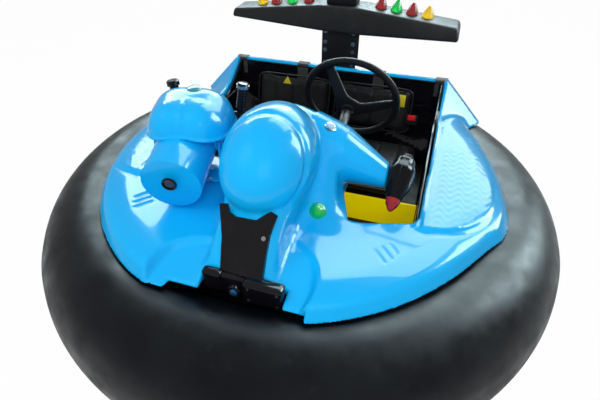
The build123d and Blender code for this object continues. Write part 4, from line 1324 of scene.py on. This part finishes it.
def cannon_mount():
    """Yoke and pedestal that carry the cannon, with their bolts."""
    dress("gun_yoke", BLUE, 0.004, 3)
    dress("gun_pedestal", BLUE, 0.002)
    spots = [((x, YOKE_Y, z), (0.35, -0.93, 0)) for x, z in ((-0.192, 0.571), (-0.205, 0.520))]
    fasteners("yoke-bolts", spots, "cannon_yoke", 0.0055, 0.005, 0.008)
    angles = [math.radians(45 + 90 * i) for i in range(4)]
    spots = [
        ((CANNON_X + 0.052 * math.cos(a), CANNON_Y + 0.052 * math.sin(a), 0.509), (0, 0, 1)) for a in angles
    ]
    fasteners("pedestal-bolts", spots, "car", 0.0045, 0.003, 0.0065)


cannon_hood()
cannon_grips()
cannon_fittings()
cannon_mount()


# ================= driver's lamp pod =================
POD_MID, POD_ALONG = Vector((0.3620, -0.1770, 0.5760)), Vector((-0.10, -0.84, -0.54)).normalized()
POD_SIDE = Vector((0, 0, 1)).cross(POD_ALONG).normalized()
POD_RISE = POD_ALONG.cross(POD_SIDE)

# place along the pod, half thickness, half height
POD_SHELL = (
    (-0.084, 0.006, 0.006), (-0.078, 0.016, 0.017), (-0.056, 0.029, 0.033), (-0.020, 0.038, 0.045),
    (0.020, 0.036, 0.043), (0.066, 0.022, 0.023),
)
POD_TIP = ((0.067, 0.0215, 0.0225), (0.080, 0.019, 0.020), (0.096, 0.0105, 0.011), (0.1035, 0.003, 0.003))


def smooth_stations(knots, count):
    """Widths eased between a few known ones."""
    out = []
    places = [k[0] for k in knots]
    for i in range(count + 1):
        d = places[0] + (places[-1] - places[0]) * i / count
        n = max(k for k in range(len(places)) if places[k] <= d + 1e-9)
        n = min(n, len(places) - 2)
        t = (d - places[n]) / (places[n + 1] - places[n])
        ease = t * t * (3 - 2 * t) if 0 < n < len(places) - 2 else t
        widths = [knots[n][c] + (knots[n + 1][c] - knots[n][c]) * ease for c in (1, 2)]
        out.append((d, *widths))
    return out


def pod_skin(name, stations):
    """Rounded sections along the pod."""
    rings = []
    for d, half_t, half_h in stations:
        section = superellipse(half_t, half_h, 2.3, 40)
        rings.append([POD_MID + POD_ALONG * d + POD_SIDE * u + POD_RISE * v for u, v in section])
    return rings_mesh(name, rings)


def side_pod():
    """Black pod with a red tip and a seam along its top."""
    shell = smooth_stations(POD_SHELL, 30)
    new_piece("pod_shell", pod_skin("pod", shell), POD_BLACK, "car", ("side_pod",), 50)
    tip = pod_skin("tip", smooth_stations(POD_TIP, 14))
    new_piece("pod_tip", tip, RED, "car", ("pod_lamp",), 50)
    seam = [POD_MID + POD_ALONG * d + POD_RISE * (h - 0.0002) for d, _, h in shell[2:-1]]
    new_piece("pod_seam", swept("seam", seam, round_section(0.0016, 6)), STEERING_BLACK, "car")


side_pod()


# ================= lamps and board =================
BOARD_LEFT, BOARD_LENGTH, BOARD_MIDDLE = -0.460, 0.920, 0.080
BOARD_TOP, BOARD_BOTTOM, TOP_FALL, BOTTOM_RISE = 0.850, 0.768, 0.108, 0.042
DROOP_Y, DROOP_RUN, DROOP_LEAST, DROOP_GROWTH = 0.615, 0.110, 0.008, 0.016


def share_of(value):
    return min(max(value, 0), 1)


def light_board():
    """The board, whose front droops forwards and downwards, more so on the driver's side."""
    board = dress("light_board", BOARD, 0.010, 4)
    for vertex in board.data.vertices:
        x, y, z = vertex.co
        front = share_of((DROOP_Y - y) / DROOP_RUN)
        outer = max(abs(x) - BOARD_MIDDLE, 0)
        top, bottom = BOARD_TOP - TOP_FALL * outer, BOARD_BOTTOM + BOTTOM_RISE * outer
        low = share_of((top - z) / (top - bottom))
        droop = DROOP_LEAST + DROOP_GROWTH * ((x - BOARD_LEFT) / BOARD_LENGTH)
        vertex.co.y -= droop * front * (0.4 + 0.6 * low)
        vertex.co.z -= droop * front * low


def dash_domes():
    """Green dome on the console's foot, and a clear one with a bright collar on the dash."""
    place = frame_at((0.160, -0.336, 0.530), (1, 0, 0), (0, -0.20, 0.17))
    dome = lathe("dome", dome_profile(0.0255, 0.016, 0.010), 36, place)
    new_piece("green-dome", dome, GREEN, "car")
    place = Matrix.Translation((0.148, -0.168, 0.7105)) @ Matrix.Rotation(math.radians(18), 4, "Y")
    glass = lathe("glass", dome_profile(0.0165, 0.011, 0.006), 32, place)
    new_piece("clear-dome", glass, CLEAR, "car", ("dash_lamp_clear",))
    profile = [(0.0150, -0.006), (0.0195, -0.006), (0.0195, -0.001), (0.0165, 0.001)]
    new_piece("clear-dome-collar", lathe("collar", profile, 32, place), STEEL, "car")


for node, material in (("lamps_red", RED), ("lamps_yellow", AMBER), ("lamps_green", GREEN)):
    dress(node, material, 0.0012)
light_board()
dress("signal_box", MATT, 0.004)
dress("mast", BLUE, 0.004)
dress("mast_plates", MATT, 0.003)
fasteners(
    "mast-bolts",
    [((x, y, z), (0, d, 0)) for x in (-0.058, 0.058) for z in (0.622, 0.672, 0.704, 0.748)
     for y, d in ((0.5195, -1), (0.5705, 1))],
    "car", 0.006, 0.005, 0.009,
)
dash_domes()


# ================= front trim and lamp bar =================
# across the car and up the slope from the bay's edge
TRIM_OUTLINE = (
    (-0.025, -0.019), (-0.035, 0.065), (-0.060, 0.149), (-0.040, 0.153), (-0.031, 0.134), (-0.010, 0.125),
    (0.044, 0.126), (0.077, 0.155), (0.097, 0.148), (0.089, 0.096), (0.089, 0.043), (0.093, -0.019),
)
BAR_LENS_X, BAR_LENS_Z = 0.024, 0.456


def polygon_form(u, v, corners):
    """Distance to a closed outline in a plane, negative inside."""
    nearest = np.full(np.broadcast(u, v).shape, 1e9)
    odd = np.zeros(nearest.shape, bool)
    for (ax, ay), (bx, by) in zip(corners, corners[1:] + corners[:1]):
        du, dv = u - ax, v - ay
        ex, ey = bx - ax, by - ay
        t = np.clip((du * ex + dv * ey) / (ex * ex + ey * ey), 0, 1)
        nearest = np.minimum(nearest, np.hypot(du - ex * t, dv - ey * t))
        if ay != by:
            odd = odd ^ (((ay > v) != (by > v)) & (u < ax + ex * (v - ay) / ey))
    return np.where(odd, -nearest, nearest)


def trim_form(u, v, n):
    """Shield-shaped trim with a diagonal fold across its face."""
    fold = np.minimum(np.abs((u - 0.030) - 0.55 * (v - 0.050)) / 0.050, 1.2)
    face = n - (0.0035 + 0.0085 * fold)
    return both(both(polygon_form(u, v, TRIM_OUTLINE), face * 0.95, 0.003), -n - 0.003, 0.001)


def front_trim():
    """The trim on the foot's slope."""
    mesh = surface_of("trim", trim_form, (-0.067, -0.027, -0.009), (0.104, 0.162, 0.018), 0.003)
    slope = Matrix((
        (1, 0, 0, 0), (0, TRIM_COS, -TRIM_SIN, TRIM_Y), (0, TRIM_SIN, TRIM_COS, TRIM_Z), (0, 0, 0, 1),
    ))
    new_piece("front-shield", moved(mesh, slope), GLOSS, "car", ("front_trim",), 35)


def bar_lens_frame(y):
    """Frame in the lamp bar's lens barrel, facing forwards."""
    return frame_at((BAR_LENS_X, y, BAR_LENS_Z), (1, 0, 0), (0, -1, 0))


def lamp_bar():
    """Black lamp bar in the front bay: a set-back block, a lens barrel and a deeper box."""
    barrel = [(0.0115, -0.030), (0.019, -0.030), (0.019, -0.002), (0.017, 0.0), (0.0115, -0.002)]
    parts = [
        smooth_box("plate", (-0.068, -0.606, 0.427), (0.152, -0.5845, 0.490), 0.006),
        smooth_box("left", (-0.0695, -0.613, 0.432), (-0.014, -0.585, 0.4965), 0.010, 4),
        smooth_box("right", (0.046, -0.6225, 0.426), (0.1535, -0.585, 0.4965), 0.011, 4),
        lathe("barrel", barrel, 32, bar_lens_frame(-0.6215)),
    ]
    new_piece("lamp-bar-body", joined("lamp_bar", parts), GLOSS, "car", ("lamp_bar",), 35)
    lens = lathe("lens", dome_profile(0.0105, 0.005, 0.003), 28, bar_lens_frame(-0.6225))
    new_piece("front-lens-dome", lens, LENS_BLUE, "car", ("front_lens",))


front_trim()
lamp_bar()
trim_face = (0, -TRIM_SIN, TRIM_COS)
fasteners("trim-bolt", [((0.074, -0.5265, 0.5700), trim_face)], "car", 0.004, 0.003, 0.006)
bar_screws = [((x, -0.6228, z), (0, -1, 0)) for x in (0.064, 0.140) for z in (0.440, 0.482)]
fasteners("bar-screws", bar_screws, "car", 0.0028, 0.002, 0.0042)


# ================= running gear =================
TREAD_BLOCKS, TREAD_DEPTH, TYRE_BORE = 30, 0.0035, 0.0562
WHEEL_NUTS, NUT_CIRCLE_R, NUT_SINK = 5, 0.030, 0.0035


def treaded_tyre(name, node, body):
    """Solid tyre with blocks cut into its shoulders, out of step from side to side."""
    low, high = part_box(node)
    half_w, radius = (high[0] - low[0]) / 2, (high[2] - low[2]) / 2
    place = frame_at(middle_of(low, high), (0, 1, 0), (1, 0, 0))
    rings = []
    for i, a in enumerate(turns(TREAD_BLOCKS * 4)):
        near, far = (TREAD_DEPTH, 0.0) if i % 4 < 2 else (0.0, TREAD_DEPTH)
        section = [
            (TYRE_BORE, -half_w + 0.004), (radius - 0.016, -half_w), (radius - 0.006, -half_w + 0.001),
            (radius - 0.001 - near, -half_w + 0.006), (radius - near, -0.008), (radius - 0.003, -0.006),
            (radius - 0.003, 0.006), (radius - far, 0.008), (radius - 0.001 - far, half_w - 0.006),
            (radius - 0.006, half_w - 0.001), (radius - 0.016, half_w), (TYRE_BORE, half_w - 0.004),
        ]
        rings.append([place @ Vector((r * math.cos(a), r * math.sin(a), h)) for r, h in section])
    new_piece(name, rings_mesh(name, rings, closed_loop=True), TYRE, body, (node,), 30)


def wheel(node, body, side):
    """Tyre, hub and the nuts on the hub's outer face."""
    label = node.replace("_", "-")
    treaded_tyre(label + "-tread", node + "_tyre", body)
    dress(node + "_hub", ALLOY, 0.0015)
    low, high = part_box(node + "_hub")
    middle = middle_of(low, high)
    x = (high[0] if side > 0 else low[0]) - side * NUT_SINK
    circle = round_section(NUT_CIRCLE_R, WHEEL_NUTS)
    spots = [((x, middle.y + u, middle.z + v), (side, 0, 0)) for u, v in circle]
    fasteners(label + "-nuts", spots, body, 0.005, 0.004, 0.007)


wheel("rear_left", "rear_left_wheel", 1)
wheel("rear_right", "rear_right_wheel", -1)
wheel("drive", "drive_wheel", 1)
for node, edge in (
    ("drive_fork", 0.003), ("rear_axle", 0.002), ("floor_frame", 0.003), ("tube_rim", 0.003),
    ("steering_column", 0.002),
):
    dress(node, PAINTED, edge)


# ================= floor =================
def make_floor():
    corners = [(x * FLOOR_HALF, y * FLOOR_HALF, 0) for x, y in ((-1, -1), (1, -1), (1, 1), (-1, 1))]
    mesh = mesh_from("floor", corners, [(0, 1, 2, 3)])
    mesh.materials.append(floor_finish())
    linked("floor", mesh)


make_floor()

paint_node("battery", MATT)
